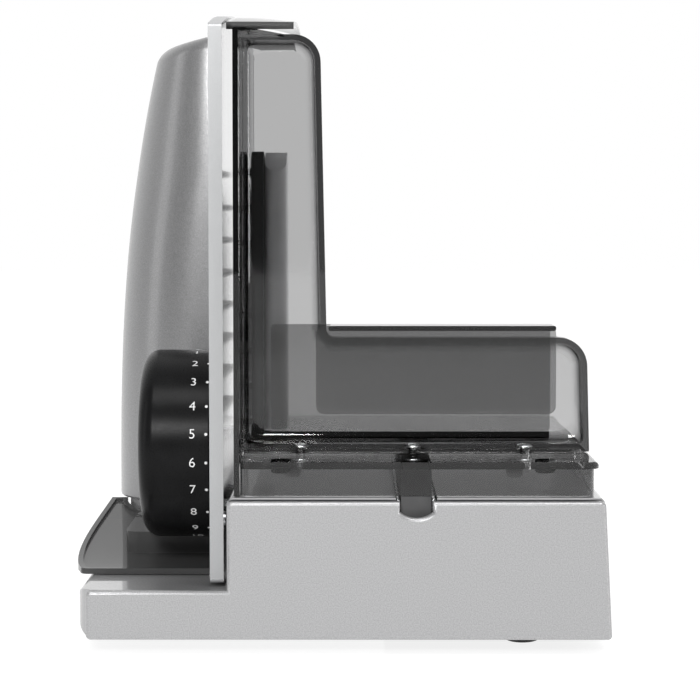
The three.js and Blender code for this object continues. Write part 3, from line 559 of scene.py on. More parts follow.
def front_panel():
    """The flat silver panel on the user's side, with a rounded front edge and the guide's notch."""
    low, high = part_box("base_front_panel")
    view = stepped_outline("base_front_panel", 2.5 * MM, 2.5 * MM, 2.5 * MM)
    panel = prism("front_panel", "y", view, low.y, high.y)
    guide_low, guide_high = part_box("carriage_guide")
    middle = (guide_low.x + guide_high.x) / 2
    half = (guide_high.x - guide_low.x) / 2 + 0.5 * MM
    side = high.z - 4.8 * MM
    dip = 2.8 * MM
    radius = (half ** 2 + dip ** 2) / (2 * dip)
    spread = math.asin(half / radius)
    notch = [(middle - half, high.z + MM)]
    steps = 16
    for i in range(steps + 1):
        angle = -spread + 2 * spread * i / steps
        across = middle + radius * math.sin(angle)
        notch.append((across, side + radius * math.cos(spread) - radius * math.cos(angle)))
    notch.append((middle + half, high.z + MM))
    cut(panel, prism("notch", "y", notch, low.y - MM, high.y + MM))
    round_front(panel, low.y, 2.4 * MM)
    dress(panel, "base", SILVER, "silver_paint", "base_front_panel")


def round_front(piece, front, width):
    """Rounds only the edges that lie on a piece's front face."""
    form = bmesh.new()
    form.from_mesh(piece.data)
    tidy(form)
    near = 0.05 * MM
    edges = [e for e in form.edges if all(abs(v.co.y - front) < near for v in e.verts)]
    bmesh.ops.bevel(
        form, geom=edges, offset=width, segments=6, profile=0.5, affect="EDGES", clamp_overlap=True)
    form.to_mesh(piece.data)
    form.free()
    shade(piece)


def feet():
    """Four soft round feet with a rounded sole and a small centre dimple."""
    for number in range(1, 5):
        node = f"foot_{number}"
        low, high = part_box(node)
        x, y, radius = round_part(node, "z")
        profile = [
            (ON_AXIS, 0.6 * MM), (3 * MM, 0.6 * MM), (3.6 * MM, low.z), (radius - 1.6 * MM, low.z),
            (radius - 0.5 * MM, low.z + 0.4 * MM), (radius, low.z + 1.4 * MM), (radius, high.z),
            (ON_AXIS, high.z)]
        foot = turned(f"rubber_{node}", "z", profile, x, y, 48)
        shade(foot)
        dress(foot, "base", RUBBER, "rubber", node)


def gland():
    """The cable gland: a flanged rubber ring around the cable outlet."""
    low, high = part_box("cord_gland")
    x, z, radius = round_part("cord_gland", "y")
    bore = 3.6 * MM
    profile = [
        (bore, low.y), (radius, low.y), (radius, high.y - 1.2 * MM), (radius - 0.8 * MM, high.y),
        (bore + 1.6 * MM, high.y), (bore + 0.5 * MM, high.y - 0.5 * MM), (bore, high.y - 1.6 * MM)]
    ring = collar("gland_ring", "y", profile, x, z, 48)
    shade(ring)
    dress(ring, "base", RUBBER, "rubber", "cord_gland")


# ---------------------------------------------------------------- tower


TOWER = {
    "top": 298.6 * MM, "crown": 6.5 * MM, "foot": 1.2 * MM,
    "left": 22.5 * MM, "left_power": 2.54, "front": 10 * MM, "back": 26 * MM, "fall": 0.24,
    "round": 42 * MM, "sharp": 6 * MM, "flat": 9 * MM}


def tower_ring(level, shrink):
    """One level ring of the tower: nearly flat on the blade side, round on the outer side."""
    low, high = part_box("motor_housing")
    rise = max(0.0, level - low.z) / (TOWER["top"] - low.z)
    left = low.x + TOWER["left"] * rise ** TOWER["left_power"] + shrink
    right = high.x - shrink * 0.2
    front = low.y + TOWER["front"] * rise ** 3 + shrink
    back = high.y - TOWER["back"] * rise ** 2 - shrink
    corner = min(TOWER["round"] - shrink * 0.5, right - left - TOWER["flat"])
    sharp = TOWER["sharp"]
    outline = rounded(
        [(right, front, sharp), (right, back, sharp), (left, back, corner), (left, front, corner)], 16)
    ring = []
    for x, y in outline:
        drop = ARCH_TOP - arch_height(y) + TOWER["fall"] * (right - x)
        ring.append((x, y, level - drop * rise ** 3))
    return ring


def tower():
    """The motor housing: a tapering tower with key recesses, blade bores and air slots."""
    low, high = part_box("motor_housing")
    top, crown, foot = TOWER["top"], TOWER["crown"], TOWER["foot"]
    rings = []
    for step in range(4):
        angle = step / 3 * math.pi / 2
        rings.append(tower_ring(low.z + foot * (1 - math.cos(angle)), foot * (1 - math.sin(angle))))
    levels = 30
    for step in range(1, levels + 1):
        rings.append(tower_ring(low.z + foot + (top - crown - low.z - foot) * step / levels, 0.0))
    for step in range(1, 13):
        angle = step / 12 * (math.pi / 2) * 0.93
        rings.append(tower_ring(top - crown + crown * math.sin(angle), crown * (1 - math.cos(angle))))
    body = from_rings("tower_body", rings)
    grow = 0.6 * MM
    for node, radius in (("start_button", 4 * MM), ("lock_button", 6.9 * MM)):
        key_low, key_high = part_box(node)
        outline = rectangle(
            key_low.y - grow, key_high.y + grow, key_low.z - grow, key_high.z + grow, radius)
        cut(body, prism("recess", "x", outline, low.x - 5 * MM, key_high.x + 5 * MM))
    for node, clear, deep in (("blade_hub", 3 * MM, 6 * MM), ("blade_shaft", MM, 51 * MM)):
        y, z, radius = round_part(node)
        cut(body, cylinder("bore", "x", radius + clear, high.x - deep, high.x + MM, y, z, 64))
    air_slots(body, low, high)
    soften(body, 0.5 * MM, 2, 40.0)
    # painted shade: the darker copy of the silver paint stands in for the tower's shade
    dress(body, "base", SHADED_TOWER_PAINT, "silver_paint", "motor_housing")


def air_slots(body, low, high):
    """Cooling slots low on the tower's back."""
    middle = (low.x + high.x) / 2
    for i in range(7):
        level = low.z + 14 * MM + i * 7 * MM
        outline = rectangle(
            middle - 18 * MM, middle + 18 * MM, level, level + 2.6 * MM, 1.25 * MM, 5)
        cut(body, prism("air_slot", "y", outline, high.y - 6 * MM, high.y + 5 * MM))


def buttons():
    """The start key with a finger hollow, and the round lock key beside it."""
    low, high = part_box("start_button")
    outline = rectangle(low.y, high.y, low.z, high.z, 3.5 * MM)
    key = prism("start_key", "x", outline, low.x, high.x)
    hollow = bpy.data.meshes.new("hollow")
    form = bmesh.new()
    bmesh.ops.create_uvsphere(form, u_segments=48, v_segments=32, radius=30 * MM)
    form.to_mesh(hollow)
    form.free()
    ball = new_piece("hollow", hollow)
    ball.data.transform(Matrix.Translation(
        (low.x - 29.2 * MM, (low.y + high.y) / 2, (low.z + high.z) / 2)))
    cut(key, ball)
    soften(key, 0.7 * MM, 3)
    dress(key, "start_key", BLACK, "black_plastic", "start_button")

    low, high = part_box("lock_button")
    y, z, radius = round_part("lock_button")
    profile = [
        (ON_AXIS, low.x + 0.5 * MM), (radius * 0.55, low.x + 0.3 * MM), (radius - 1.0 * MM, low.x),
        (radius - 0.3 * MM, low.x + 0.3 * MM), (radius, low.x + 1.0 * MM), (radius, high.x),
        (ON_AXIS, high.x)]
    lock = turned("lock_key", "x", profile, y, z, 64)
    shade(lock)
    dress(lock, "lock_key", GREY, "grey_plastic", "lock_button")


# ---------------------------------------------------------------- gauge plate and dial


def gauge_plate():
    """The stop plate: an arched top, a rear edge that follows the blade, and soft edges."""
    low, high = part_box("gauge_plate")
    toe = low.y + 33 * MM
    lift = 50 * MM
    corners = [(low.y, low.z, 2.5 * MM), (toe, low.z, 2 * MM), (toe, lift, 2 * MM),
               (high.y, lift, 2 * MM)]
    steps = 24
    for i in range(steps + 1):
        y = high.y + (low.y - high.y) * i / steps
        corners.append((y, arch_height(y), 1.5 * MM if i == steps else 0))
    plate = prism("stop_plate", "x", rounded(corners), low.x, high.x)
    y, z, radius = round_part("blade")
    arc = cylinder("arc", "x", radius + 2.5 * MM, low.x - MM, high.x + MM, y, z, 192)
    y, z, _radius = round_part("cam_pin")
    cut(plate, arc, cylinder("pin_hole", "x", 3.5 * MM, low.x - MM, high.x + MM, y, z, 32))
    soften(plate, 1.1 * MM, 4)
    dress(plate, "gauge", ALUMINIUM, "aluminium", "gauge_plate")
    plate.data.materials.append(POLISHED)
    for face in plate.data.polygons:
        face.material_index = 1 if face.normal.x > 0.9 else 0


def dial():
    """The thickness dial: a black cup with a wide round edge and printed numbers."""
    low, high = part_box("thickness_dial")
    y, z, radius = round_part("thickness_dial")
    edge = 9 * MM
    wall = 3 * MM
    dome = 1.2 * MM
    profile = [(ON_AXIS, low.x), (radius * 0.45, low.x + 0.1 * MM)]
    for step in range(13):
        angle = step / 12 * math.pi / 2
        profile.append((radius - edge * (1 - math.sin(angle)),
                        low.x + dome + (edge - dome) * (1 - math.cos(angle))))
    profile += [
        (radius, high.x - 0.6 * MM), (radius - 0.6 * MM, high.x), (radius - wall, high.x),
        (radius - wall, low.x + edge), (radius - edge, low.x + wall), (ON_AXIS, low.x + wall)]
    cup = turned("dial_cup", "x", profile, y, z, 160)
    shade(cup)
    dress(cup, "dial", BLACK, "black_plastic", "thickness_dial")
    dial_print(y, z, radius, high.x)


DIAL_PRINT = {"step": math.radians(17.0), "count": 21, "first": math.radians(-6.0),
              "height": 4.7 * MM, "from_edge": 8.0 * MM, "thin": -0.03 * MM,
              "dot": 0.7 * MM, "dot_from_edge": 1.5 * MM, "proud": 0.06 * MM}


def dial_print(middle_y, middle_z, radius, right):
    """White numbers and dots round the dial's rim, one number for each millimetre."""
    form = bmesh.new()
    for number in range(DIAL_PRINT["count"]):
        angle = DIAL_PRINT["first"] + number * DIAL_PRINT["step"]
        text = bpy.data.curves.new("number", "FONT")
        text.body = str(number)
        text.size = DIAL_PRINT["height"] * 1.38
        text.align_x = "CENTER"
        text.align_y = "CENTER"
        text.extrude = DIAL_PRINT["proud"]
        text.offset = DIAL_PRINT["thin"]
        carrier = new_piece("number", text)
        mesh = bpy.data.meshes.new_from_object(
            carrier.evaluated_get(bpy.context.evaluated_depsgraph_get()))
        bpy.data.objects.remove(carrier)
        wrap(mesh, right - DIAL_PRINT["from_edge"], angle, radius, middle_y, middle_z)
        form.from_mesh(mesh)
        dot = bmesh.new()
        bmesh.ops.create_cone(
            dot, cap_ends=True, segments=20, radius1=DIAL_PRINT["dot"], radius2=DIAL_PRINT["dot"],
            depth=DIAL_PRINT["proud"] * 2)
        dot_mesh = bpy.data.meshes.new("dot")
        dot.to_mesh(dot_mesh)
        dot.free()
        wrap(dot_mesh, right - DIAL_PRINT["dot_from_edge"], angle, radius, middle_y, middle_z)
        form.from_mesh(dot_mesh)
    mesh = bpy.data.meshes.new("dial_numbers")
    bmesh.ops.remove_doubles(form, verts=form.verts, dist=0.000002)
    form.to_mesh(mesh)
    form.free()
    dress(new_piece("dial_numbers", mesh), "dial", INK, "black_plastic")


def wrap(mesh, along, angle, radius, middle_y, middle_z):
    """Wraps flat lettering round the dial: its width runs along x, its height round the rim."""
    for vertex in mesh.vertices:
        turn = angle - vertex.co.y / radius
        reach = radius + vertex.co.z
        y = middle_y - reach * math.sin(turn)
        vertex.co = Vector((along + vertex.co.x, y, middle_z + reach * math.cos(turn)))


# ---------------------------------------------------------------- slice tray


def tray_side(along):
    """The tray's bowed left side, as x along its length."""
    left, bow, spread = 121.5, 5.9, 1.5
    return -(left + (bow * math.sin(math.pi * min(along, 1.0) ** 0.7) + spread * along)) * MM


def tray_outline(low, high, inset):
    """The tray's plan, with the hollow that goes round the pedestal."""
    hollow = -114.3 * MM - inset
    shoulder = high.y - 32 * MM - inset
    points = [(high.x, low.y + inset, 0), (high.x, shoulder, 0), (hollow, shoulder, 30 * MM),
              (hollow, high.y - inset, 0)]
    steps = 36
    for i in range(steps, 2, -1):
        along = i / steps
        y = low.y + inset + (high.y - low.y - 2 * inset) * along
        points.append((tray_side(along) + inset, y, 0))
    points.append((tray_side(0.0) + inset, low.y + inset, 4 * MM))
    return rounded(points, 8)


def above_rim(low, high, drop):
    """Everything above the tray's rising rim line, lowered by a drop."""
    rim_front, rim_rise, rim_power = 33.0, 14.9, 1.4
    points = [(low.y - MM, low.z + 32 * MM)]
    steps = 30
    for i in range(steps + 1):
        along = i / steps
        y = low.y - MM + (high.y - low.y + 2 * MM) * along
        rise = max(0.0, (y - low.y) / (high.y - low.y))
        points.append((y, (rim_front + rim_rise * rise ** rim_power) * MM - drop))
    points.append((high.y + MM, low.z + 32 * MM))
    return prism("above", "x", points, low.x - 5 * MM, high.x + 5 * MM)


def tray():
    """The clear slice tray: a rising dished sheet with a raised table under the dial."""
    low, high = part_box("slice_tray")
    wall = 2.0 * MM
    depth = 1.6 * MM
    sheet = prism("tray", "z", tray_outline(low, high, 0.0), low.z, low.z + 30 * MM)
    combine(sheet, above_rim(low, high, depth + wall), "INTERSECT")
    cut(sheet, above_rim(low, high, 0.0))
    dish = prism("dish", "z", tray_outline(low, high, 2.4 * MM), low.z - MM, low.z + 31 * MM)
    combine(dish, above_rim(low, high, depth), "INTERSECT")
    cut(sheet, dish)
    left = -105 * MM
    front = low.y + 41 * MM
    back = high.y - 32 * MM
    top = 44.7 * MM
    table = prism("table", "z", rounded([
        (left, front, 7 * MM), (high.x, front, 0), (high.x, back, 0), (left, back, 7 * MM)]),
        low.z + 2 * MM, top)
    under = prism("under", "z", rounded([
        (left + wall, front + wall, 5 * MM), (high.x + MM, front + wall, 0),
        (high.x + MM, back - wall, 0), (left + wall, back - wall, 5 * MM)]),
        low.z - MM, top - wall)
    join(sheet, table)
    cut(sheet, under)
    soften(sheet, 0.6 * MM, 3)
    # painted shade: the tray gets the darker, less clear copy of the smoke plastic
    dress(sheet, "tray", SHADED_SMOKE, "smoke_clear", "slice_tray")


# ---------------------------------------------------------------- carriage


SCREWS = ("wall_screw_1", "wall_screw_2", "wall_screw_3")


def screw_holes(piece, bottom, top):
    radius = 2.3 * MM
    for node in SCREWS:
        x, y, _radius = round_part(node, "z")
        outline = [(x + radius * math.cos(a), y + radius * math.sin(a)) for a in circle(24)]
        cut(piece, prism("screw_hole", "z", outline, bottom, top))


def carriage_body():
    """The clear carriage: a flat table in a paler copy of the smoke plastic as painted light, and a
    skirt set back below its lip in a darker copy as painted shade.
    """
    low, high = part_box("carriage_body")
    lip = high.z - 3.4 * MM
    plan = rounded([(low.x, low.y, 4 * MM), (high.x, low.y, 8 * MM), (high.x, high.y, 8 * MM),
                    (low.x, high.y, 4 * MM)])
    table = prism("carriage_table", "z", plan, lip + 0.1 * MM, high.z)
    view = prism("view", "y", rounded([
        (low.x - MM, low.z - MM, 0), (high.x, low.z - MM, 0), (high.x, high.z, 3 * MM),
        (low.x - MM, high.z, 0)]), low.y - MM, high.y + MM)
    combine(table, view, "INTERSECT")
    screw_holes(table, low.z - MM, high.z + MM)
    soften(table, 1.1 * MM, 5)
    # painted light: the table gets the paler copy of the smoke plastic
    dress(table, "carriage", LIT_SMOKE, "smoke_clear", "carriage_body")

    set_back = 2.0 * MM
    wall = 3.2 * MM
    front = low.y + set_back
    outer = rounded([
        (low.x, front, 4 * MM), (high.x - set_back, front, 8 * MM), (high.x - set_back, high.y, 0),
        (high.x - wall, high.y, 0), (high.x - wall, front + wall, 6 * MM), (low.x, front + wall, 0)])
    skirt = prism("carriage_skirt", "z", outer, low.z, lip)
    soften(skirt, 0.7 * MM, 4)
    # painted shade: the skirt gets the darker copy of the smoke plastic
    dress(skirt, "carriage", SHADED_SKIRT_SMOKE, "smoke_clear", "carriage_body")


def wall_outline(high, inset, bottom):
    """The wall in (x, z): the tall hand guard on the left, the low wall on the right."""
    top = GUARD_TOP
    low_top = 144 * MM
    right = -4 * MM
    left = GUARD_LEFT + inset
    round_by = min(inset, 8 * MM)
    return rounded([
        (left, bottom, 0.5 * MM + round_by * 0.9),
        (high.x - inset, bottom, 0.5 * MM + round_by * 0.9),
        (high.x - inset - 1.5 * MM, low_top - inset, 14 * MM - round_by),
        (right - inset, low_top - inset, 4 * MM + inset),
        (right - inset - 3 * MM, top - inset, 13 * MM - round_by),
        (left, top - inset, 0.5 * MM + round_by * 0.5)], 10)


def guard_hollow(high, base, front, back):
    """The dished hollow in the guard's front frame, with a soft turn down to the sheet."""
    rings = []
    turn = ((2.6, -0.05), (3.0, 0.25), (3.6, 0.6), (4.6, 0.86), (6.4, 0.98), (8.0, 1.0))
    for inset, depth in turn:
        outline = wall_outline(high, inset * MM, base + (inset + 1.0) * MM)
        y = front + (back - front) * depth
        rings.append([(p[0], y, p[1]) for p in outline])
    return from_rings("guard_hollow", rings, triangles=True)


def guard_roof():
    """The curved roof strip that follows the machine's arch and falls to the right."""
    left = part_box("carriage_wall")[0].x + 0.2 * MM
    right = -19 * MM
    front = -144 * MM
    back = -13.5 * MM
    thick = 3.2 * MM
    rings = []
    steps = 24
    across = 10
    for i in range(steps + 1):
        along = i / steps
        y = front + (back - front) * along
        z = arch_height(y) - 0.6 * MM
        fall = 5.4 * MM * along
        upper = []
        for k in range(across + 1):
            side = k / across
            upper.append((left + (right - left) * side, y, z - fall * side ** 2.5))
        lower = [(x, y, high - thick) for x, y, high in reversed(upper)]
        rings.append(upper + lower)
    roof = from_rings("guard_roof", rings, triangles=True)
    shade(roof)
    # painted shade: the roof gets the darker, less clear copy of the smoke plastic
    dress(roof, "carriage", SHADED_SMOKE, "smoke_clear", "carriage_wall")


def carriage_wall():
    """The clear hand guard: framed wall, side flange, top shelf and screw strip."""
    low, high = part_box("carriage_wall")
    wall_front = -115 * MM
    wall_back = wall_front + 2.5 * MM
    frame_front = wall_front - 8 * MM
    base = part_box("carriage_body")[1].z + CLEAR
    top = GUARD_TOP
    shield = prism("hand_guard", "y", wall_outline(high, 0.0, base), frame_front, wall_back)
    cut(shield, guard_hollow(high, base, frame_front, wall_front))
    flange = block("flange", (GUARD_LEFT, low.y, low.z), (GUARD_LEFT + 2.5 * MM, wall_back, top))
    shelf_front = low.y + 0.6 * MM
    shelf = prism("shelf", "z", [
        (GUARD_LEFT, shelf_front), (-40 * MM, shelf_front), (-24 * MM, frame_front),
        (-24 * MM, wall_back), (GUARD_LEFT, wall_back)], top - 1.4 * MM, top)
    join(shield, flange, shelf)
    screw_holes(shield, base - MM, base + 3 * MM)
    soften(shield, 0.7 * MM, 3, merge=False)
    dress(shield, "carriage", SMOKE, "smoke_clear", "carriage_wall")
    left = GUARD_LEFT + 2.8 * MM
    right = high.x - 4 * MM
    front = -132 * MM
    back = frame_front - 0.1 * MM
    foot = prism("guard_foot", "z", rounded([
        (left, front, 3 * MM), (right, front, 6 * MM), (right, back, 0), (left, back, 0)]),
        base, base + 2 * MM)
    screw_holes(foot, base - MM, base + 3 * MM)
    soften(foot, 0.5 * MM, 3)
    # painted light: the foot strip shares the table's paler copy of the smoke plastic
    dress(foot, "carriage", LIT_SMOKE, "smoke_clear", "carriage_wall")


def wall_screws():
    """Pan-head screws with a cross recess."""
    half = 0.45 * MM
    arm = 1.9 * MM
    for number, node in enumerate(SCREWS, 1):
        low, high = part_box(node)
        x, y, radius = round_part(node, "z")
        profile = [
            (ON_AXIS, low.z), (2 * MM, low.z), (2 * MM, high.z - 1.5 * MM), (radius, high.z - 1.5 * MM),
            (radius, high.z - 1.1 * MM), (radius * 0.86, high.z - 0.4 * MM), (radius * 0.55, high.z),
            (ON_AXIS, high.z)]
        screw = turned(f"pan_screw_{number}", "z", profile, x, y, 40)
        bottom = high.z - 0.8 * MM
        for wide, deep in ((arm, half), (half, arm)):
            cut(screw, block("cross", (x - wide, y - deep, bottom), (x + wide, y + deep, high.z + MM)))
        shade(screw)
        dress(screw, "carriage", STEEL, "steel", node)


def runners():
    """The guide foot, the glides and the rail that carry the carriage."""
    low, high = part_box("carriage_guide")
    outline = rounded([(low.x, low.z, 2 * MM), (high.x, low.z, 2 * MM), (high.x, high.z, 1 * MM),
                       (low.x, high.z, 1 * MM)], 10)
    guide = prism("guide", "y", outline, low.y, high.y)
    soften(guide, 0.6 * MM, 3)
    dress(guide, "carriage", DARK_GREY, "black_plastic", "carriage_guide")
    for number in range(1, 5):
        low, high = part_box(f"glide_{number}")
        x, y, radius = round_part(f"glide_{number}", "z")
        profile = [
            (ON_AXIS, low.z + 0.3 * MM), (2 * MM, low.z), (radius - 0.9 * MM, low.z),
            (radius - 0.3 * MM, low.z + 0.3 * MM), (radius, low.z + 0.9 * MM), (radius, high.z),
            (ON_AXIS, high.z)]
        glide = turned(f"slide_pad_{number}", "z", profile, x, y, 48)
        shade(glide)
        dress(glide, "carriage", BLACK, "black_plastic", f"glide_{number}")
    low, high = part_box("carriage_rail")
    wall = 1.9 * MM
    outer = block("rail", low, high)
    inner = block(
        "rail_hollow", (low.x + wall, low.y - MM, low.z + wall),
        (high.x - wall, high.y + MM, high.z + MM))
    cut(outer, inner)
    soften(outer, 0.5 * MM, 3)
    dress(outer, "base", STEEL, "steel", "carriage_rail")


# ---------------------------------------------------------------- remnant holder


def holder_hook():
    """The clear rear plate of the holder, and the flap that hangs in front of the guard."""
    low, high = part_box("holder_hook")
    sheet = 2.5 * MM
    panel = prism("holder_plate", "y", rectangle(low.x, high.x - 1.5 * MM, low.z, high.z, 2 * MM),
                  high.y - sheet, high.y)
    bridge = prism("bridge", "y", rectangle(low.x + 28 * MM, high.x, high.z - sheet, high.z, 1 * MM),
                   low.y, high.y)
    flap = prism("flap", "y", rectangle(low.x + 22 * MM, high.x, low.z + 9.7 * MM, high.z, 4 * MM),
                 low.y, low.y + 2.4 * MM)
    join(panel, bridge, flap)
    soften(panel, 0.7 * MM, 3)
    dress(panel, "holder", HOLDER_SMOKE, "smoke_clear", "holder_hook")


def pusher():
    """The ribbed black pusher plate with its bottom rail."""
    low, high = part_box("pusher_plate")
    back_face = low.x + 11.6 * MM
    front_face = low.x + 4.6 * MM
    top = 234 * MM
    outline = rounded([
        (low.y, low.z, 1.5 * MM), (high.y, low.z, 4 * MM), (high.y, top - 30 * MM, 30 * MM),
        (low.y, top, 5 * MM)], 14)
    plate = prism("pusher", "x", outline, front_face, back_face)
    join(plate, block("rail", (back_face - 0.5 * MM, low.y, low.z),
                      (high.x, low.y + 3.3 * MM, low.z + 5.3 * MM)))
    count = 8
    pitch = 17.2 * MM
    for i in range(count):
        level = low.z + 8 * MM + i * pitch
        length = 40 * MM if i == count - 1 else 2 * MM
        outline = rounded([
            (low.x, level + 0.9 * MM, 0.8 * MM), (front_face + 0.5 * MM, level, 0),
            (front_face + 0.5 * MM, level + 4.2 * MM, 0), (low.x, level + 3.3 * MM, 0.8 * MM)], 4)
        join(plate, prism("rib", "y", outline, low.y + 2.7 * MM, high.y - length))
    soften(plate, 0.7 * MM, 3)
    dress(plate, "holder", BLACK, "black_plastic", "pusher_plate")


def grip():
    """The grey grip rib with its slanted top."""
    low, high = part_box("holder_grip")
    outline = rectangle(low.x, high.x, low.y, high.y, 4.5 * MM, 10)
    bar = prism("grip_bar", "z", outline, low.z, high.z)
    slope = prism("slope", "x", [
        (low.y - MM, high.z - 9.6 * MM), (low.y + 13 * MM, high.z + 2.6 * MM),
        (low.y - MM, high.z + 2.6 * MM)], low.x - MM, high.x + MM)
    cut(bar, slope)
    soften(bar, 0.9 * MM, 4)
    dress(bar, "holder", GREY, "grey_plastic", "holder_grip")


# ---------------------------------------------------------------- blade


def blade():
    """The round knife: flat inner face, ground bevel and a fine waved edge."""
    low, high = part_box("blade")
    y, z, radius = round_part("blade")
    bore = 5.3 * MM
    relief = high.x - 0.3 * MM
    waves = 60
    wave_depth = 1.1 * MM
    profile = [
        (bore, low.x), (radius - 14 * MM, low.x), (radius - 13 * MM, low.x + 0.1 * MM),
        (radius - 1.3 * MM, high.x - 0.35 * MM), (radius, high.x - 0.12 * MM), (radius, high.x),
        (radius - 1.3 * MM, high.x), (radius - 20 * MM, high.x), (radius - 21 * MM, relief),
        (radius - 44 * MM, relief), (radius - 45 * MM, high.x), (bore, high.x)]
    rings = []
    for reach, x in profile:
        waved = reach > radius - 1.5 * MM
        ring = []
        for angle in circle(waves * 8):
            dip = wave_depth * (0.5 - 0.5 * math.cos(angle * waves)) if waved else 0.0
            out = reach - dip
            ring.append((x, y + out * math.cos(angle), z + out * math.sin(angle)))
        rings.append(ring)
    knife = from_rings("knife", rings, closed=True)
    shade(knife)
    dress(knife, "blade", STEEL, "steel", "blade")
    blade_hub(y, z)
    blade_screw(y, z)


def blade_hub(y, z):
    """The black hub: a chamfered ring."""
    low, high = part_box("blade_hub")
    radius = (high.y - low.y) / 2
    bore = 5.4 * MM
    edge = 0.8 * MM
    profile = [(bore, low.x), (radius - edge, low.x), (radius, low.x + edge),
               (radius, high.x - edge), (radius - edge, high.x), (bore, high.x)]
    hub = collar("hub", "x", profile, y, z, 96)
    shade(hub)
    dress(hub, "blade", BLACK, "black_plastic", "blade_hub")


def blade_screw(y, z):
    """The black blade screw with a wide slot for a coin."""
    low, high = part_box("blade_screw")
    radius = (high.y - low.y) / 2
    profile = [
        (ON_AXIS, low.x), (radius, low.x), (radius, high.x - 1.3 * MM),
        (radius - 0.6 * MM, high.x - 0.6 * MM), (radius - 3.4 * MM, high.x), (ON_AXIS, high.x)]
    screw = turned("coin_screw", "x", profile, y, z, 96)
    cut(screw, block("slot", (high.x - 1 * MM, y - 10 * MM, z - 1.5 * MM),
                     (high.x + MM, y + 10 * MM, z + 1.5 * MM)))
    shade(screw)
    dress(screw, "blade", BLACK, "black_plastic", "blade_screw")


# ---------------------------------------------------------------- springs and the hidden drive


def spring(node, body):
    """A coil spring for a button, built at one fixed length."""
    low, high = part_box(node)
    wire = 0.4 * MM
    reach = (high.y - low.y) / 2 - wire
    middle_y = (low.y + high.y) / 2
    middle_z = (low.z + high.z) / 2
    turns = 4.5
    steps = 160
    around = 10
    length = high.x - low.x - 2 * wire
    lean = length / (2 * math.pi * reach * turns)
    rings = []
    for i in range(steps + 1):
        angle = 2 * math.pi * turns * i / steps
        out = Vector((0, math.cos(angle), math.sin(angle)))
        up = Vector((1, lean * math.sin(angle), -lean * math.cos(angle))).normalized()
        centre = Vector((low.x + wire + length * i / steps, middle_y, middle_z)) + out * reach
        rings.append([
            centre + (out * math.cos(a) + up * math.sin(a)) * wire for a in circle(around)])
    coil = from_rings(f"coil_{node}", rings)
    shade(coil)
    dress(coil, body, STEEL, "steel", node)
    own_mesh(coil)


def hidden_parts():
    """Gives each CAD node that keeps its shape the material of its record slot."""
    finishes = {"steel": STEEL, "aluminium": ALUMINIUM, "copper": COPPER, "nylon": NYLON,
                "black_plastic": BLACK, "grey_plastic": GREY, "rubber": RUBBER}
    for part in frame["record"]["subparts"]:
        node = frame["nodes"][part["node"]]
        if not node.hide_render:
            node.data.materials.clear()
            node.data.materials.append(finishes[part["material_slot"]])


# ---------------------------------------------------------------- the picture


def floor():
    """A large pale floor that blends into the white background."""
    mesh = bpy.data.meshes.new("floor")
    size = 6.0
    form = bmesh.new()
    signs = ((-1, -1), (1, -1), (1, 1), (-1, 1))
    form.faces.new([form.verts.new((x * size, y * size, 0)) for x, y in signs])
    form.to_mesh(mesh)
    form.free()
    ground = new_piece("floor", mesh)
    surface = Surface("floor", (0.3, 0.3, 0.3), 0.9)
    surface.color_from(surface.noise(3.0, 2.0), 0.29, 0.31)
    surface.set("Specular IOR Level", 0.0)
    surface.set("Emission Color", (1.0, 1.0, 1.0, 1.0))
    surface.set("Emission Strength", 0.85)
    mesh.materials.append(surface.material)


def area_light(name, place, target, wide, power, tall):
    """A rectangular soft box that shines at a target."""
    data = bpy.data.lights.new(name, "AREA")
    data.shape = "RECTANGLE"
    data.size = wide
    data.size_y = tall
    data.energy = power
    lamp = bpy.data.objects.new(name, data)
    lamp.location = place
    lamp.rotation_euler = (Vector(target) - Vector(place)).to_track_quat("-Z", "Y").to_euler()
    bpy.context.scene.collection.objects.link(lamp)


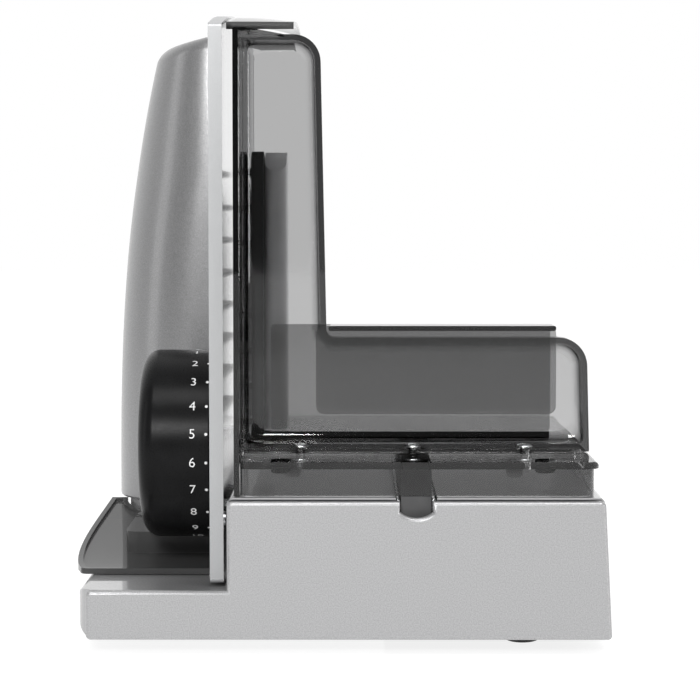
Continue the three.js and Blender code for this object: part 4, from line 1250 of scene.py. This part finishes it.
def sky(levels):
    """A studio dome: white behind the machine, darker on the user's side."""
    world = bpy.data.worlds.new("studio")
    world.use_nodes = True
    nodes = world.node_tree.nodes
    links = world.node_tree.links
    place = nodes.new("ShaderNodeTexCoord")
    split = nodes.new("ShaderNodeSeparateXYZ")
    links.new(place.outputs["Generated"], split.inputs["Vector"])
    spread = nodes.new("ShaderNodeMapRange")
    spread.inputs["From Min"].default_value = -1.0
    spread.inputs["From Max"].default_value = 1.0
    links.new(split.outputs["Y"], spread.inputs["Value"])
    ramp = nodes.new("ShaderNodeValToRGB")
    while len(ramp.color_ramp.elements) < len(levels):
        ramp.color_ramp.elements.new(0.5)
    for element, (position, level) in zip(ramp.color_ramp.elements, levels):
        element.position = position
        element.color = (level, level, level, 1.0)
    links.new(spread.outputs["Result"], ramp.inputs["Fac"])
    links.new(ramp.outputs["Color"], nodes["Background"].inputs["Color"])
    return world


def lights():
    """A bright dome behind, and large soft boxes above, in front and at both sides."""
    bpy.context.scene.world = sky([(0.0, 0.18), (0.3, 0.2), (0.62, 0.7), (0.8, 1.0)])
    bpy.context.scene.view_settings.view_transform = "Standard"
    middle = (0.0, 0.0, 0.12)
    area_light("top", (0.1, -0.75, 1.5), middle, 1.1, 12.0, 0.5)
    area_light("left", (-1.6, -0.5, 0.6), middle, 0.5, 2.5, 1.2)
    area_light("right", (1.4, -1.1, 0.5), middle, 0.5, 7.0, 0.8)
    area_light("front", (-0.3, -2.0, 0.95), middle, 0.5, 17.0, 0.4)


def camera():
    """A long lens in front of the machine, slightly above its middle."""
    data = bpy.data.cameras.new("camera")
    pixels = 700
    focal = 2200
    data.sensor_width = 36.0
    data.lens = data.sensor_width * focal / pixels
    data.clip_end = 20.0
    view = bpy.data.objects.new("camera", data)
    pitch = math.atan(143 / focal)
    yaw = math.atan(6 / focal)
    view.location = (10 * MM, -1170 * MM, 206 * MM)
    view.rotation_euler = (math.pi / 2 - pitch, 0.0, yaw)
    bpy.context.scene.collection.objects.link(view)
    bpy.context.scene.camera = view


base_shell()
front_panel()
feet()
gland()
tower()
buttons()
gauge_plate()
dial()
tray()
carriage_body()
carriage_wall()
guard_roof()
wall_screws()
runners()
holder_hook()
pusher()
grip()
blade()
spring("start_spring", "base")
spring("lock_spring", "base")
hidden_parts()
floor()
lights()
camera()
